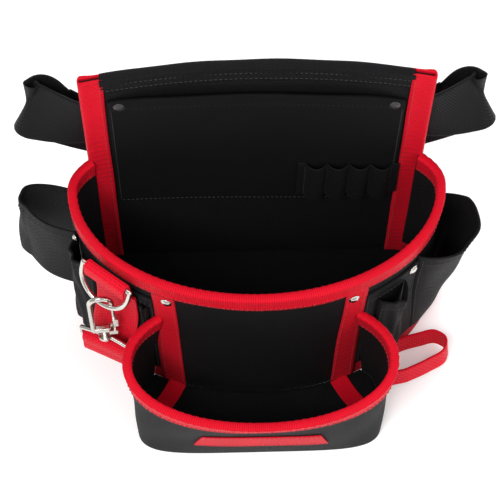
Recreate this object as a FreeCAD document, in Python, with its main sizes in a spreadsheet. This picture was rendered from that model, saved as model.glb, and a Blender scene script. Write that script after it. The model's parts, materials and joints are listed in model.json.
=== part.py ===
"""Electrician's tool pouch: an open-topped fabric bucket with a front pocket, side tool
pockets, a hammer loop, a tape strap on a swivel snap hook, and a waist belt behind it.

Millimetres, +Z up, -Y is the front of the pouch. The origin is under the middle of the
back panel's rear face, on the surface that the pouch stands on.
"""
import FreeCAD, Part, Sketcher
import math
import os

Vector = FreeCAD.Vector
UP = Vector(0, 0, 1)

DIMENSIONS = [
    ("panel_thick", 3.0), ("fabric_thick", 2.0), ("tape_thick", 1.3), ("tape_flap", 15.0),
    ("back_half_width", 120.0), ("back_side_height", 248.0), ("back_rise", 18.0),
    ("rim_height", 150.0), ("rim_half_width", 134.0), ("base_half_width", 141.0),
    ("bowl_centre", 28.0), ("rim_depth", 92.0), ("base_depth", 98.0),
    ("rim_seam_half", 66.0), ("base_seam_half", 60.0),
    ("band_low", 20.0), ("band_high", 130.0), ("floor_thick", 3.0),
    ("front_rim_height", 98.0), ("front_rim_half", 95.0), ("front_base_half", 90.0),
    ("front_centre", 142.0), ("front_rim_depth", 50.0), ("front_base_depth", 31.0),
    ("slip_low", 92.0), ("slip_depth", 8.0), ("slip_half_width", 103.0), ("slip_drop", 20.0),
    ("label_top", 54.0), ("label_height", 26.0), ("label_thick", 1.2),
    ("belt_width", 50.0), ("belt_thick", 2.4), ("belt_low", 165.0), ("belt_reach", 160.0),
    ("belt_sag", 52.0), ("tunnel_half_width", 92.0),
    ("strap_width", 38.0), ("strap_thick", 2.2), ("ring_wire", 3.4), ("ring_half", 21.0),
    ("ring_leg", 6.0), ("ring_tilt", 21.0), ("hook_wire", 3.8), ("hook_bend", 8.0), ("hook_length", 50.0),
    ("base_wire", 3.6), ("base_drop", 14.0), ("hammer_width", 18.0),
    ("rivet_radius", 4.2), ("rivet_dome", 1.8),
    ("buckle_half", 30.0), ("buckle_depth", 12.0), ("buckle_wall", 2.0),
]

doc = FreeCAD.newDocument("tool_pouch")
sizes = doc.addObject("Spreadsheet::Sheet", "sizes")
for row, (alias, value) in enumerate(DIMENSIONS, start=1):
    sizes.set(f"A{row}", alias)
    sizes.set(f"B{row}", str(value))
    sizes.setAlias(f"B{row}", alias)
doc.recompute()
nodes = []


def size(alias):
    """The value of one driving dimension."""
    return float(sizes.get(alias))


def bind(thing, **expressions):
    """Ties properties of an object to the sheet."""
    for name, expression in expressions.items():
        thing.setExpression(name, expression)
    return thing


def keep(thing, label, placement=None):
    """Makes an object one of the pouch's pieces."""
    thing.Label = label
    if placement is not None:
        thing.Placement = placement
    nodes.append(thing)
    return thing


def shaped(label, shape):
    """A piece whose curved cloth or wire shape is made by Part's own functions."""
    piece = doc.addObject("Part::Feature", label)
    piece.Shape = shape
    return keep(piece, label)


def shape_of(label):
    """The shape of a piece that is already made."""
    return next(piece.Shape for piece in nodes if piece.Label == label)


def mix(low, high, share):
    return low + (high - low) * share


# ---------------------------------------------------------------- the bowl's curved wall

def bowl_angle(station, height):
    """Angle round the bowl at a station: 0 and 6 are the back corners, 1 and 5 the widest
    points, 2 and 4 the front seams and 3 the middle of the front."""
    half = mix(size("base_half_width"), size("rim_half_width"), height / size("rim_height"))
    seam = mix(size("base_seam_half"), size("rim_seam_half"), height / size("rim_height"))
    corner = math.acos((size("back_half_width") - 1.0) / half)
    marks = [-corner, 0.0, math.acos(seam / half), math.pi / 2]
    marks += [math.pi - mark for mark in reversed(marks[:3])]
    index = min(int(station), 5)
    return mix(marks[index], marks[index + 1], station - index), half, corner


def bowl_ring(station, height, proud):
    """A point round the bowl at its floor or its rim, moved out by proud: an ellipse whose
    front half is the bowl's depth and whose back half returns to the back panel's corners."""
    angle, half, corner = bowl_angle(station, height)
    start = size("panel_thick") + size("tape_thick")
    back_depth = (size("bowl_centre") - start - 0.1) / math.sin(corner)
    front_depth = mix(size("base_depth"), size("rim_depth"), height / size("rim_height"))
    depth = front_depth if math.sin(angle) > 0 else back_depth
    place = Vector(half * math.cos(angle), -size("bowl_centre") - depth * math.sin(angle), height)
    outward = Vector(math.cos(angle) / half, -math.sin(angle) / depth, 0).normalize()
    return place + outward * proud


def bowl_point(station, height, proud=0.0):
    """A point on the bowl's outer face, on the straight line from its floor to its rim."""
    low, high = (bowl_ring(station, end, proud) for end in (0, size("rim_height")))
    return mix(low, high, height / size("rim_height"))


def front_ring(station, height, proud):
    """A point round the front pocket at its floor or its rim: station 0 is its right end on
    the bowl, 2 the middle of its front and 4 its left end. Squarer at the floor. Proud counts
    inward, so the pocket's cloth lies from 0 out to minus its thickness."""
    share = height / size("front_rim_height")
    half = mix(size("front_base_half"), size("front_rim_half"), share)
    depth = mix(size("front_base_depth"), size("front_rim_depth"), share)
    power = 2 / mix(3.2, 2.1, share)
    angle = math.radians(-46 + 68 * station)
    bowl_depth = mix(size("base_depth"), size("rim_depth"), share)
    rear = size("front_centre") - size("bowl_centre") - bowl_depth * 0.84

    def at(turn):
        wide = math.copysign(abs(math.cos(turn)) ** power, math.cos(turn))
        deep = math.copysign(abs(math.sin(turn)) ** power, math.sin(turn))
        reach = depth if deep > 0 else rear / abs(math.sin(math.radians(46))) ** power
        return Vector(half * wide, -size("front_centre") - reach * deep, height)

    along = (at(angle + 0.02) - at(angle - 0.02)).normalize()
    return at(angle) + along.cross(UP) * proud


def front_point(station, height, proud=0.0):
    """A point on the front pocket's inner face, straight from its floor to its rim."""
    low, high = (front_ring(station, end, proud) for end in (0, size("front_rim_height")))
    return mix(low, high, height / size("front_rim_height"))


def curve(points):
    """A smooth edge through the points."""
    spline = Part.BSplineCurve()
    spline.interpolate(points)
    return spline.toShape()


def strip(outline, start, end, height, inner, outer, count):
    """The closed section of a wall at one height, from station start to end."""
    stations = [mix(start, end, step / count) for step in range(count + 1)]
    near = [outline(station, height, inner) for station in stations]
    far = [outline(station, height, outer) for station in reversed(stations)]
    joins = [Part.makeLine(near[-1], far[0]), Part.makeLine(far[-1], near[0])]
    return Part.Wire([curve(near), joins[0], curve(far), joins[1]])


def wall(outline, start, end, low, high, inner, outer, count=16):
    """A solid of cloth that follows an outline, between two heights and two offsets."""
    sections = [strip(outline, start, end, height, inner, outer, count) for height in (low, high)]
    return Part.makeLoft(sections, True, True)


def binding(outline, start, end, top, count):
    """A tape folded over a wall's top edge: a flap down each side, joined by the fold."""
    tape, cloth, slack = size("tape_thick"), size("fabric_thick"), 0.06
    low, fold = top - size("tape_flap"), top + slack
    outside = wall(outline, start, end, low, top + tape, slack, tape, count)
    inside = wall(outline, start, end, low, top + tape, -cloth - tape, -cloth - slack, count)
    over = wall(outline, start, end, fold, top + tape, -cloth - slack, slack, count)
    return Part.makeCompound([outside, inside, over])


def ribbon(centres, widths, width, thick):
    """Webbing through the centres: widths gives the direction across it at each one."""
    sections = []
    for index, centre in enumerate(centres):
        before = centres[max(index - 1, 0)]
        after = centres[min(index + 1, len(centres) - 1)]
        across = widths[index].normalize()
        normal = (after - before).normalize().cross(across).normalize() * (thick / 2)
        side = across * (width / 2)
        corners = [centre + side + normal, centre + side - normal,
                   centre - side - normal, centre - side + normal]
        sections.append(Part.makePolygon(corners + corners[:1]))
    return Part.makeLoft(sections, True, True)


def bulge_outline(start, end, reach, lean, low_reach):
    """An outline that leaves the bowl between two stations, by reach at band_high and
    low_reach at band_low, furthest out past the middle by lean."""
    def outline(station, height, proud=0.0):
        share = (station - start) / (end - start)
        rise = (height - size("band_low")) / (size("band_high") - size("band_low"))
        swell = math.sin(math.pi * min(max(share, 0), 1) ** lean) ** 0.8 if 0 < share < 1 else 0
        return bowl_point(station, height, proud + mix(low_reach, reach, rise) * swell)
    return outline


# ---------------------------------------------------------------- back panel and its trim

def plane_of(body, role):
    return next(item for item in body.Origin.OriginFeatures if item.Role == role)


def sketch_in(body, role, name):
    sketch = body.newObject("Sketcher::SketchObject", name)
    sketch.AttachmentSupport = [(plane_of(body, role), "")]
    sketch.MapMode = "FlatFace"
    return sketch


def arched_outline(sketch, half, low, side, rise):
    """Straight sides and foot under an arched top, with its sizes tied to the sheet."""
    width, foot, shoulder, crown = 100.0, 0.0, 200.0, 215.0
    corners = [Vector(-width, shoulder, 0), Vector(-width, foot, 0),
               Vector(width, foot, 0), Vector(width, shoulder, 0)]
    for first, last in zip(corners, corners[1:]):
        sketch.addGeometry(Part.LineSegment(first, last), False)
    sketch.addGeometry(Part.Arc(corners[3], Vector(0, crown, 0), corners[0]), False)
    join = Sketcher.Constraint
    sketch.addConstraint([
        join("Coincident", 0, 2, 1, 1), join("Coincident", 1, 2, 2, 1),
        join("Coincident", 2, 2, 3, 1), join("Coincident", 3, 2, 0, 1),
        join("Vertical", 0), join("Horizontal", 1), join("Vertical", 2),
        join("Symmetric", 0, 1, 2, 2, -2)])
    named = [("half", join("DistanceX", -1, 1, 1, 2, width), half),
             ("side", join("DistanceY", -1, 1, 2, 2, shoulder), side),
             ("bend", join("Radius", 3, 500.0), f"(({half})^2 + ({rise})^2) / (2 * ({rise}))"),
             ("foot", join("DistanceY", -1, 1, 1, 2, foot), low)]
    for name, constraint, expression in named:
        index = sketch.addConstraint(constraint)
        sketch.renameConstraint(index, name)
        sketch.setExpression(f"Constraints.{name}", expression)
    return sketch


def padded_body(label, half, low, side, rise, thick, forward):
    """A body whose pad rises thick towards the front from forward in front of the origin."""
    body = doc.addObject("PartDesign::Body", label)
    sketch = arched_outline(sketch_in(body, "XZ_Plane", label + "_outline"), half, low, side, rise)
    pad = body.newObject("PartDesign::Pad", label + "_pad")
    pad.Profile = sketch
    bind(pad, Length=thick)
    bind(sketch, **{"AttachmentOffset.Base.z": forward})
    return body


def cut_from(body, name, half, low, side, rise, depth, forward):
    """A pocket in a padded body, from forward towards the back."""
    sketch = arched_outline(sketch_in(body, "XZ_Plane", name), half, low, side, rise)
    bind(sketch, **{"AttachmentOffset.Base.z": forward})
    pocket = body.newObject("PartDesign::Pocket", name + "_cut")
    pocket.Profile = sketch
    bind(pocket, Length=depth)
    return body


def back_panel():
    keep(padded_body("back_panel", "sizes.back_half_width", "0", "sizes.back_side_height",
                     "sizes.back_rise", "sizes.panel_thick", "0"), "back_panel")


def back_top_band():
    """The hem folded over the arched top edge, between the two side bindings."""
    body = padded_body("back_top_band", "sizes.back_half_width - sizes.tape_flap",
                       "sizes.back_side_height - sizes.tape_flap",
                       "sizes.back_side_height + 3.5", "sizes.back_rise - 3.5",
                       "sizes.panel_thick + 2 * sizes.tape_thick", "-sizes.tape_thick")
    cut_from(body, "band_hollow", "sizes.back_half_width - 1", "sizes.back_side_height - 40",
             "sizes.back_side_height + 0.1", "sizes.back_rise",
             "sizes.panel_thick", "sizes.panel_thick")
    cut_from(body, "band_foot", "sizes.back_half_width - 1", "sizes.back_side_height - 60",
             "sizes.back_side_height - sizes.tape_flap + 2", "sizes.back_rise - 2",
             "sizes.panel_thick + 4 * sizes.tape_thick", "sizes.panel_thick + 2 * sizes.tape_thick")
    keep(body, "back_top_band")


def back_bindings():
    """Red tape folded round each side edge of the back panel, from floor to shoulder."""
    tape = "sizes.tape_thick"
    for side, hand in (("left", -1), ("right", 1)):
        outside = doc.addObject("Part::Box", side + "_binding_outside")
        bind(outside, Length=f"sizes.tape_flap + {tape}", Width=f"sizes.panel_thick + 2 * {tape}",
             Height="sizes.back_side_height + 0.8")
        inside = doc.addObject("Part::Box", side + "_binding_inside")
        bind(inside, Length="sizes.tape_flap + 1", Width="sizes.panel_thick",
             Height="sizes.back_side_height + 60")
        edge = "sizes.back_half_width"
        if hand > 0:
            bind(outside, **{"Placement.Base.x": f"{edge} - sizes.tape_flap"})
            bind(inside, **{"Placement.Base.x": f"{edge} - sizes.tape_flap - 1"})
        else:
            bind(outside, **{"Placement.Base.x": f"-{edge} - {tape}"})
            bind(inside, **{"Placement.Base.x": f"-{edge}"})
        bind(outside, **{"Placement.Base.y": f"-sizes.panel_thick - {tape}"})
        bind(inside, **{"Placement.Base.y": "-sizes.panel_thick", "Placement.Base.z": "-10"})
        tape_fold = doc.addObject("Part::Cut", side + "_back_binding")
        tape_fold.Base, tape_fold.Tool = outside, inside
        keep(tape_fold, side + "_back_binding")


def inner_slip_pocket():
    """A flat pocket sewn inside the back panel, open along its arched top."""
    start = "sizes.panel_thick"
    body = padded_body("inner_slip_pocket", "sizes.slip_half_width", "sizes.slip_low",
                       "sizes.back_side_height - sizes.slip_drop", "sizes.back_rise",
                       "sizes.slip_depth", start)
    cut_from(body, "slip_hollow", "sizes.slip_half_width - 2", "sizes.slip_low + 2",
             "sizes.back_side_height + 10", "sizes.back_rise",
             "sizes.slip_depth - 1.5", f"{start} + sizes.slip_depth - 1.5")
    keep(body, "inner_slip_pocket")


def inner_elastic_loops():
    """Ribbed elastic sewn down between four tool loops, on the face of the slip pocket."""
    face = -size("panel_thick") - size("slip_depth") - 0.05
    loop, count, start, low, high, thick = 16.0, 4, 36.0, 100.0, 142.0, 1.4
    outer, inner = [], []
    for index in range(count):
        middle = start + loop * (index + 0.5)
        for points, radius in ((outer, loop / 2 - 0.1), (inner, loop / 2 - thick)):
            left, right = middle - radius, middle + radius
            points.append((Vector(left, face, low), Vector(middle, face - radius, low),
                           Vector(right, face, low)))
    loops = []
    for far, near in zip(outer, inner):
        edges = [Part.Arc(*far).toShape(), Part.makeLine(far[2], near[2]),
                 Part.Arc(*reversed(near)).toShape(), Part.makeLine(near[0], far[0])]
        loops.append(Part.Face(Part.Wire(edges)).extrude(UP * (high - low)))
    end = start + loop * count
    tabs = [Part.makeBox(6, thick, high - low, Vector(x, face - thick, low)) for x in (start - 6, end)]
    shaped("inner_elastic_loops", Part.makeCompound(loops + tabs))


# ---------------------------------------------------------------- bowl, pockets and bindings

def bowl_panels():
    """The front, the two side panels and the red strips under their tool bands."""
    cloth = size("fabric_thick")
    low, split, rim = size("floor_thick"), size("band_low"), size("rim_height")
    shaped("front_panel", wall(bowl_point, 2, 4, low, rim, -cloth, 0))
    for side, start, end in (("right", 0, 2), ("left", 4, 6)):
        shaped(side + "_side_panel", wall(bowl_point, start, end, split, rim, -cloth, 0))
        shaped(side + "_lower_panel", wall(bowl_point, start, end, low, split, -cloth, 0))


def bottom_panel():
    thick = size("floor_thick")
    stations = [6 * step / 48 for step in range(49)]
    rim = [bowl_point(station, 0) for station in stations]
    ends = Part.makeLine(rim[-1], rim[0])
    shaped("bottom_panel", Part.Face(Part.Wire([curve(rim), ends])).extrude(UP * thick))


def main_rim_binding():
    shaped("main_rim_binding", binding(bowl_point, 0.02, 5.98, size("rim_height"), 48))


def front_seam_bindings():
    """Red tape down the outside of both front seams, from the rim binding to the floor."""
    tape = size("tape_thick")
    low, high = size("floor_thick"), size("rim_height") - size("tape_flap") - 0.2
    for side, start, end in (("right", 1.91, 2.07), ("left", 3.93, 4.09)):
        shaped(side + "_front_seam_binding", wall(bowl_point, start, end, low, high, 0.1, tape, 4))


def tool_bands():
    """Black bands round the sides. On the left, a large open sleeve, a small pocket and a
    flat stretch. On the right, one large pocket, a flat stretch and a pen pocket."""
    low, high, cloth = size("band_low"), size("band_high"), size("fabric_thick")
    sleeve = bulge_outline(4.76, 5.42, 40, 1.25, 44)
    shaped("left_tool_sleeve", wall(sleeve, 4.76, 5.42, low + 30, high, 0.05, cloth, 24))
    small = bulge_outline(4.53, 4.76, 11, 1.0, 7)
    shaped("left_small_pocket", wall(small, 4.53, 4.76, low, high - 6, 0.05, cloth, 12))
    shaped("left_flat_band", wall(bowl_point, 4.1, 4.53, low, high - 6, 0.05, cloth, 6))
    shaped("left_band_tail", wall(bowl_point, 5.42, 5.9, low, high, 0.05, cloth, 6))
    large = bulge_outline(0.9, 1.52, 30, 0.9, 3)
    shaped("right_tool_pocket", wall(large, 0.9, 1.52, low, high, 0.05, cloth, 24))
    shaped("right_flat_band", wall(bowl_point, 1.52, 1.9, low, high - 6, 0.05, cloth, 6))
    shaped("right_band_tail", wall(bowl_point, 0.1, 0.9, low, high, 0.05, cloth, 6))
    for side, start, end, reach, low_reach in (("right", 1.63, 1.83, 12, 3), ("left", 4.125, 4.175, 3, 1)):
        pen = bulge_outline(start, end, reach, 1.0, low_reach)
        shaped(side + "_pen_pocket",
               wall(pen, start, end, low + 6, high - 18, cloth + 0.05, 2 * cloth - 0.4, 12))


def front_pocket():
    """The low pocket on the front: its curved wall, its floor, binding and name strip."""
    cloth, tape, low = size("fabric_thick"), size("tape_thick"), size("floor_thick")
    high = size("front_rim_height")
    bowl = filled_bowl(cloth + 0.15)
    shell = wall(front_point, 0, 4, low, high, -cloth, 0, 40).cut(bowl)
    shaped("front_pocket_wall", shell)
    shaped("front_pocket_binding", binding(front_point, 0, 4, high, 40).cut(bowl).cut(shell))
    rim = [front_point(4 * step / 40, 0) for step in range(41)]
    floor = Part.Face(Part.Wire([curve(rim), Part.makeLine(rim[-1], rim[0])])).extrude(UP * low)
    shaped("front_pocket_floor", floor.cut(bowl))
    for side, start, end in (("right", 0.30, 1.1), ("left", 2.9, 3.70)):
        seam = wall(front_point, start, end, low, low + 12, -cloth - tape, -cloth, 12)
        shaped(side + "_pocket_floor_binding", seam.cut(bowl).cut(shell))
    top = size("label_top")
    label = wall(front_point, 1.61, 2.39, top - size("label_height"), top,
                 -cloth - size("label_thick"), -cloth - 0.3, 20)
    shaped("label_strip", label.cut(shell))


def filled_bowl(proud):
    """The bowl filled up, to cut what is sewn against its face."""
    wires = []
    for height in (-1, size("rim_height")):
        edge = [bowl_point(6 * step / 48, height, proud) for step in range(49)]
        wires.append(Part.Wire([curve(edge), Part.makeLine(edge[-1], edge[0])]))
    return Part.makeLoft(wires, True, True)


def rivet_at(label, place, outward, radius, dome):
    """A half-ellipsoid head whose flat side lies on the cloth."""
    head = doc.addObject("Part::Ellipsoid", label)
    bind(head, Radius1=dome, Radius2=radius, Radius3=radius)
    head.Angle1 = 0
    head.Placement = FreeCAD.Placement(place, FreeCAD.Rotation(UP, outward))
    return head


def rivets():
    radius, dome = "sizes.rivet_radius", "sizes.rivet_dome"
    cloth, tape = size("fabric_thick"), size("tape_thick")
    spots = [(1.57, 119, cloth), (4.76, 122, cloth), (1.99, 128, tape), (4.01, 128, tape)]
    heads = []
    for index, (station, height, proud) in enumerate(spots):
        place = bowl_point(station, height, proud + 0.3)
        outward = bowl_point(station, height, proud + 1.3) - place
        heads.append(rivet_at(f"side_rivet_{index}", place, outward, radius, dome))
    group = doc.addObject("Part::Compound", "side_rivets")
    group.Links = heads
    keep(group, "side_rivets")
    face = -size("panel_thick") - size("slip_depth") - 0.05
    high = size("back_side_height") - size("slip_drop") - 7
    heads = [rivet_at(f"pocket_rivet_{x}", Vector(x, face, high), Vector(0, -1, 0), radius, dome)
             for x in (-95, 95)]
    group = doc.addObject("Part::Compound", "slip_pocket_rivets")
    group.Links = heads
    keep(group, "slip_pocket_rivets")


# ---------------------------------------------------------------- hammer loop

def hammer_loop():
    """Red webbing that leaves the right side panel, rounds out and returns to the front
    pocket's side, standing on its edge with its top leaning inward."""
    middle = 10.8
    start = bowl_point(1.5, middle, 2.2)
    end = front_point(0.70, middle + 8, 3.4)
    tail = front_point(0.98, middle + 8, 3.0)
    route = [start, Vector(122, -87, middle), Vector(140, -89, middle + 1),
             Vector(147, -96, middle + 2), Vector(143, -106, middle + 4),
             Vector(128, -115, middle + 6), Vector(107, -126, middle + 7), end, tail]
    spline = Part.BSplineCurve()
    spline.interpolate(route)
    first, last = spline.FirstParameter, spline.LastParameter
    centres = [spline.value(mix(first, last, step / 20)) for step in range(21)]
    lean = Vector(-0.12, 0.16, 1)
    band = ribbon(centres, [Vector(lean) for _ in centres], size("hammer_width"), size("strap_thick"))
    trimmed = band.cut(shape_of("front_pocket_wall")).cut(shape_of("right_pocket_floor_binding"))
    shaped("hammer_loop", max(trimmed.Solids, key=lambda solid: solid.Volume))


# ---------------------------------------------------------------- ring, hook and tape strap

RING_STATION = 4.33
RING_HEIGHT = 143.0
RING_PROUD = 10.0
HOOK_TURN = -4.0
BASE_TURN = 27.0


def ring_frame():
    """Where the ring's straight bar lies, and the direction along it."""
    place = bowl_point(RING_STATION, RING_HEIGHT, RING_PROUD)
    before = bowl_point(RING_STATION - 0.02, RING_HEIGHT, RING_PROUD)
    after = bowl_point(RING_STATION + 0.02, RING_HEIGHT, RING_PROUD)
    return place, (before - after).normalize()


def turned(place, along, tilt=0.0):
    """A placement whose local X lies along a horizontal direction and whose Z is up,
    turned about X by tilt degrees."""
    heading = math.degrees(math.atan2(along.y, along.x))
    rotation = FreeCAD.Rotation(UP, heading).multiply(FreeCAD.Rotation(Vector(1, 0, 0), tilt))
    return FreeCAD.Placement(place, rotation)


def rod(name, first, last, radius):
    """A round rod between two points, in the piece's own axes."""
    bar = doc.addObject("Part::Cylinder", name)
    bind(bar, Radius=radius)
    bar.Height = (last - first).Length
    bar.Placement = FreeCAD.Placement(first, FreeCAD.Rotation(UP, last - first))
    return bar


def ball(name, centre, radius):
    """The rounded corner where two rods of one wire meet."""
    knob = doc.addObject("Part::Sphere", name)
    bind(knob, Radius=radius)
    knob.Placement.Base = centre
    return knob


def half_ring(name, centre, bend, wire, up):
    """Half of a ring of wire in the XZ plane, the upper or the lower half."""
    arc = doc.addObject("Part::Torus", name)
    bind(arc, Radius1=bend, Radius2=wire)
    arc.Angle3 = 180
    arc.Placement = FreeCAD.Placement(centre, FreeCAD.Rotation(Vector(1, 0, 0), 90 if up else -90))
    return arc


def fused(label, shapes, placement):
    group = doc.addObject("Part::MultiFuse", label)
    group.Shapes = shapes
    return keep(group, label, placement)


def d_ring():
    """A D of round wire: its straight bar lies in the webbing fold and its bow hangs down."""
    place, along = ring_frame()
    half, leg, wire = size("ring_half"), size("ring_leg"), "sizes.ring_wire / 2"
    pieces = [rod("ring_bar", Vector(-half, 0, 0), Vector(half, 0, 0), wire),
              rod("ring_left_leg", Vector(-half, 0, -leg), Vector(-half, 0, 0), wire),
              rod("ring_right_leg", Vector(half, 0, -leg), Vector(half, 0, 0), wire),
              ball("ring_left_corner", Vector(-half, 0, 0), wire),
              ball("ring_right_corner", Vector(half, 0, 0), wire),
              half_ring("ring_bow", Vector(0, 0, -leg), "sizes.ring_half", wire, False)]
    fused("d_ring", pieces, turned(place, along, -size("ring_tilt")))


def ring_low_point():
    """The middle of the wire at the lowest point of the bow, which the strap holds tilted."""
    place, along = ring_frame()
    hang = math.radians(size("ring_tilt"))
    outward = Vector(along.y, -along.x, 0)
    return place + (outward * math.sin(hang) - UP * math.cos(hang)) * (size("ring_leg") + size("ring_half"))


def ring_webbing():
    """Red webbing sewn on the band, folded over the ring's bar."""
    place, along = ring_frame()
    width, thick = size("strap_width"), size("strap_thick")
    outward = Vector(along.y, -along.x, 0)
    room = size("ring_wire") / 2 + 0.3 + thick / 2
    turns = [math.radians(-90 + 22.5 * step) for step in range(9)]
    arc = [place - outward * (room * math.sin(turn)) + UP * (room * math.cos(turn)) for turn in turns]
    tail = [place + outward * room - UP * 9]
    back = [place - outward * room - UP * 22]
    centres = tail + arc + back
    ribbon_shape = ribbon(centres, [Vector(along) for _ in centres], width - 2, thick)
    shaped("ring_webbing", ribbon_shape)


def hook_frame():
    """The swivel's centre, under the ring's lowest point: the hook hangs from the ring."""
    reach = size("hook_length") + size("hook_bend") - size("hook_wire") / 2
    low = ring_low_point() + UP * (-size("ring_wire") / 2)
    gap = 2.4
    return low - UP * (reach - size("ring_wire") - gap)


def hook_body():
    """A J of thick wire on a turned shank: the left leg rises to the bend, the nose comes
    down on the right, and a shoulder at the foot carries the gate."""
    wire, bend, rise = "sizes.hook_wire / 2", size("hook_bend"), size("hook_length")
    shoulder = 9.0
    nose = rise - 5.0
    place = turned(hook_frame(), Vector(math.cos(math.radians(-HOOK_TURN)),
                                        math.sin(math.radians(-HOOK_TURN)), 0))
    foot = doc.addObject("Part::Box", "hook_shoulder")
    foot.Length, foot.Width, foot.Height = 2 * bend - 2, 5.0, 5.0
    foot.Placement.Base = Vector(-bend - 1, -2.5, shoulder - 3)
    rounded = doc.addObject("Part::Fillet", "hook_shoulder_rounded")
    rounded.Base = foot
    rounded.Edges = [(edge, 1.4, 1.4) for edge in range(1, 13)]
    pieces = [rod("hook_leg", Vector(-bend, 0, shoulder), Vector(-bend, 0, rise), wire),
              half_ring("hook_crown", Vector(0, 0, rise), "sizes.hook_bend", wire, True),
              rod("hook_nose", Vector(bend, 0, nose), Vector(bend, 0, rise), wire),
              ball("hook_tip", Vector(bend, 0, nose), wire),
              rounded,
              rod("hook_shank", Vector(0, 0, -3.4), Vector(0, 0, shoulder), "2.2"),
              rod("hook_shank_head", Vector(0, 0, -5.0), Vector(0, 0, -3.2), "3.8")]
    fused("hook_body", pieces, place)


def hook_gate():
    """The sprung lever that closes the hook from the shoulder to the nose, with a ribbed
    thumb plate near its foot."""
    bend, rise = size("hook_bend"), size("hook_length")
    place = turned(hook_frame(), Vector(math.cos(math.radians(-HOOK_TURN)),
                                        math.sin(math.radians(-HOOK_TURN)), 0))
    foot, top = 8.0, rise - 5.0 - size("hook_wire") / 2 - 0.4
    lever = rod("gate_lever", Vector(bend, 0, foot + 1), Vector(bend, 0, top), "1.3")
    thumb = doc.addObject("Part::Box", "gate_thumb")
    thumb.Length, thumb.Width, thumb.Height = 3.0, 5.0, 11.0
    thumb.Placement.Base = Vector(bend - 0.6, -2.5, foot + 8)
    ribs = [rod(f"gate_rib_{step}", Vector(bend + 2.4, -2.5, foot + 9.3 + 2.1 * step),
                Vector(bend + 2.4, 2.5, foot + 9.3 + 2.1 * step), "0.7") for step in range(5)]
    eye = rod("gate_eye", Vector(bend, -2.4, foot), Vector(bend, 2.4, foot), "2.1")
    solid = doc.addObject("Part::MultiFuse", "gate_solid")
    solid.Shapes = [lever, thumb, eye] + ribs
    bore = rod("gate_bore", Vector(bend, -4, foot), Vector(bend, 4, foot), "0.95")
    drilled = doc.addObject("Part::Cut", "hook_gate")
    drilled.Base, drilled.Tool = solid, bore
    keep(drilled, "hook_gate", place)
    pin = rod("gate_pin", Vector(bend, -3.6, foot), Vector(bend, 3.6, foot), "0.9")
    ears = []
    for face in (-3.6, 2.5):
        ear = doc.addObject("Part::Box", f"hook_ear_{face:.0f}")
        ear.Length, ear.Width, ear.Height = 6.2, 1.1, 5.0
        ear.Placement.Base = Vector(bend - 4.4, face, foot - 2.4)
        ears.append(ear)
    fused("hook_gate_pin", [pin] + ears, place)


def hook_base():
    """The swivel eye with two sloping arms down to the bar that holds the strap."""
    wire, half, drop = "sizes.base_wire / 2", size("strap_width") / 2 + 1.5, size("base_drop")
    place = turned(hook_frame(), Vector(math.cos(math.radians(-BASE_TURN)),
                                        math.sin(math.radians(-BASE_TURN)), 0))
    collar = rod("swivel_collar", Vector(0, 0, -3.1), Vector(0, 0, -0.3), "5.2")
    bore = rod("swivel_bore", Vector(0, 0, -4), Vector(0, 0, 1), "2.25")
    shoulder = Vector(half, 0, -6.6)
    corner = Vector(half, 0, -drop)
    pieces = [collar]
    for side, hand in (("left", -1), ("right", 1)):
        near = Vector(hand * 5.0, 0, -1.9)
        knee = Vector(hand * shoulder.x, 0, shoulder.z)
        foot = Vector(hand * corner.x, 0, corner.z)
        pieces += [rod(side + "_arm", near, knee, wire), ball(side + "_knee", knee, wire),
                   rod(side + "_leg", knee, foot, wire), ball(side + "_foot", foot, wire)]
    pieces.append(rod("strap_bar", Vector(-corner.x, 0, corner.z), corner, wire))
    solid = doc.addObject("Part::MultiFuse", "base_solid")
    solid.Shapes = pieces
    drilled = doc.addObject("Part::Cut", "hook_base")
    drilled.Base, drilled.Tool = solid, bore
    keep(drilled, "hook_base", place)


def strap_route():
    """Centres and widths of the tape strap: down the band from under the ring webbing,
    round a loop, and up to the bar of the hook's base."""
    place, along = ring_frame()
    outward = Vector(along.y, -along.x, 0)
    base = hook_frame() - UP * size("base_drop")
    across = Vector(math.cos(math.radians(-BASE_TURN)), math.sin(math.radians(-BASE_TURN)), 0)
    return place, along, outward, base, across


def tape_strap():
    """The strap in two lengths that part at the foot of its loop."""
    place, along, outward, base, across = strap_route()
    width, thick = size("strap_width"), size("strap_thick")
    facing = Vector(across.y, -across.x, 0)
    room = size("base_wire") / 2 + 0.15 + thick / 2
    foot = base.z - 24
    bend = 6.2
    low_back = base - facing * (bend * 2 - room) + UP * (foot + bend - base.z)
    top = bowl_point(RING_STATION, RING_HEIGHT - 23, 3.5)
    upper = bowl_point(RING_STATION, RING_HEIGHT - 50, 3.5)
    descent = [top, upper, (upper + low_back) * 0.5 + facing * 0.6, low_back]
    blend = [Vector(along), along * 0.8 + across * 0.2, along * 0.4 + across * 0.6, Vector(across)]
    quarter = [low_back + facing * (bend * (1 - math.cos(turn))) - UP * (bend * math.sin(turn))
               for turn in (math.radians(22.5), math.radians(45), math.radians(67.5), math.radians(83))]
    shaped("tape_strap", ribbon(descent + quarter, blend + [Vector(across)] * 4, width, thick))
    middle = low_back + facing * bend
    rising = [middle + facing * (bend * math.sin(turn)) - UP * (bend * math.cos(turn))
              for turn in (math.radians(7), math.radians(30), math.radians(60), math.radians(90))]
    front = base + facing * room
    wrap = [base + facing * (room * math.cos(turn)) + UP * (room * math.sin(turn))
            for turn in (0, math.pi / 4, math.pi / 2, 3 * math.pi / 4, math.pi)]
    tail = [base - facing * room - UP * 9]
    centres = rising + [front - UP * 8] + wrap + tail
    shaped("strap_end", ribbon(centres, [Vector(across)] * len(centres), width - 1, thick))


# ---------------------------------------------------------------- waist belt and its buckle

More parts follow.
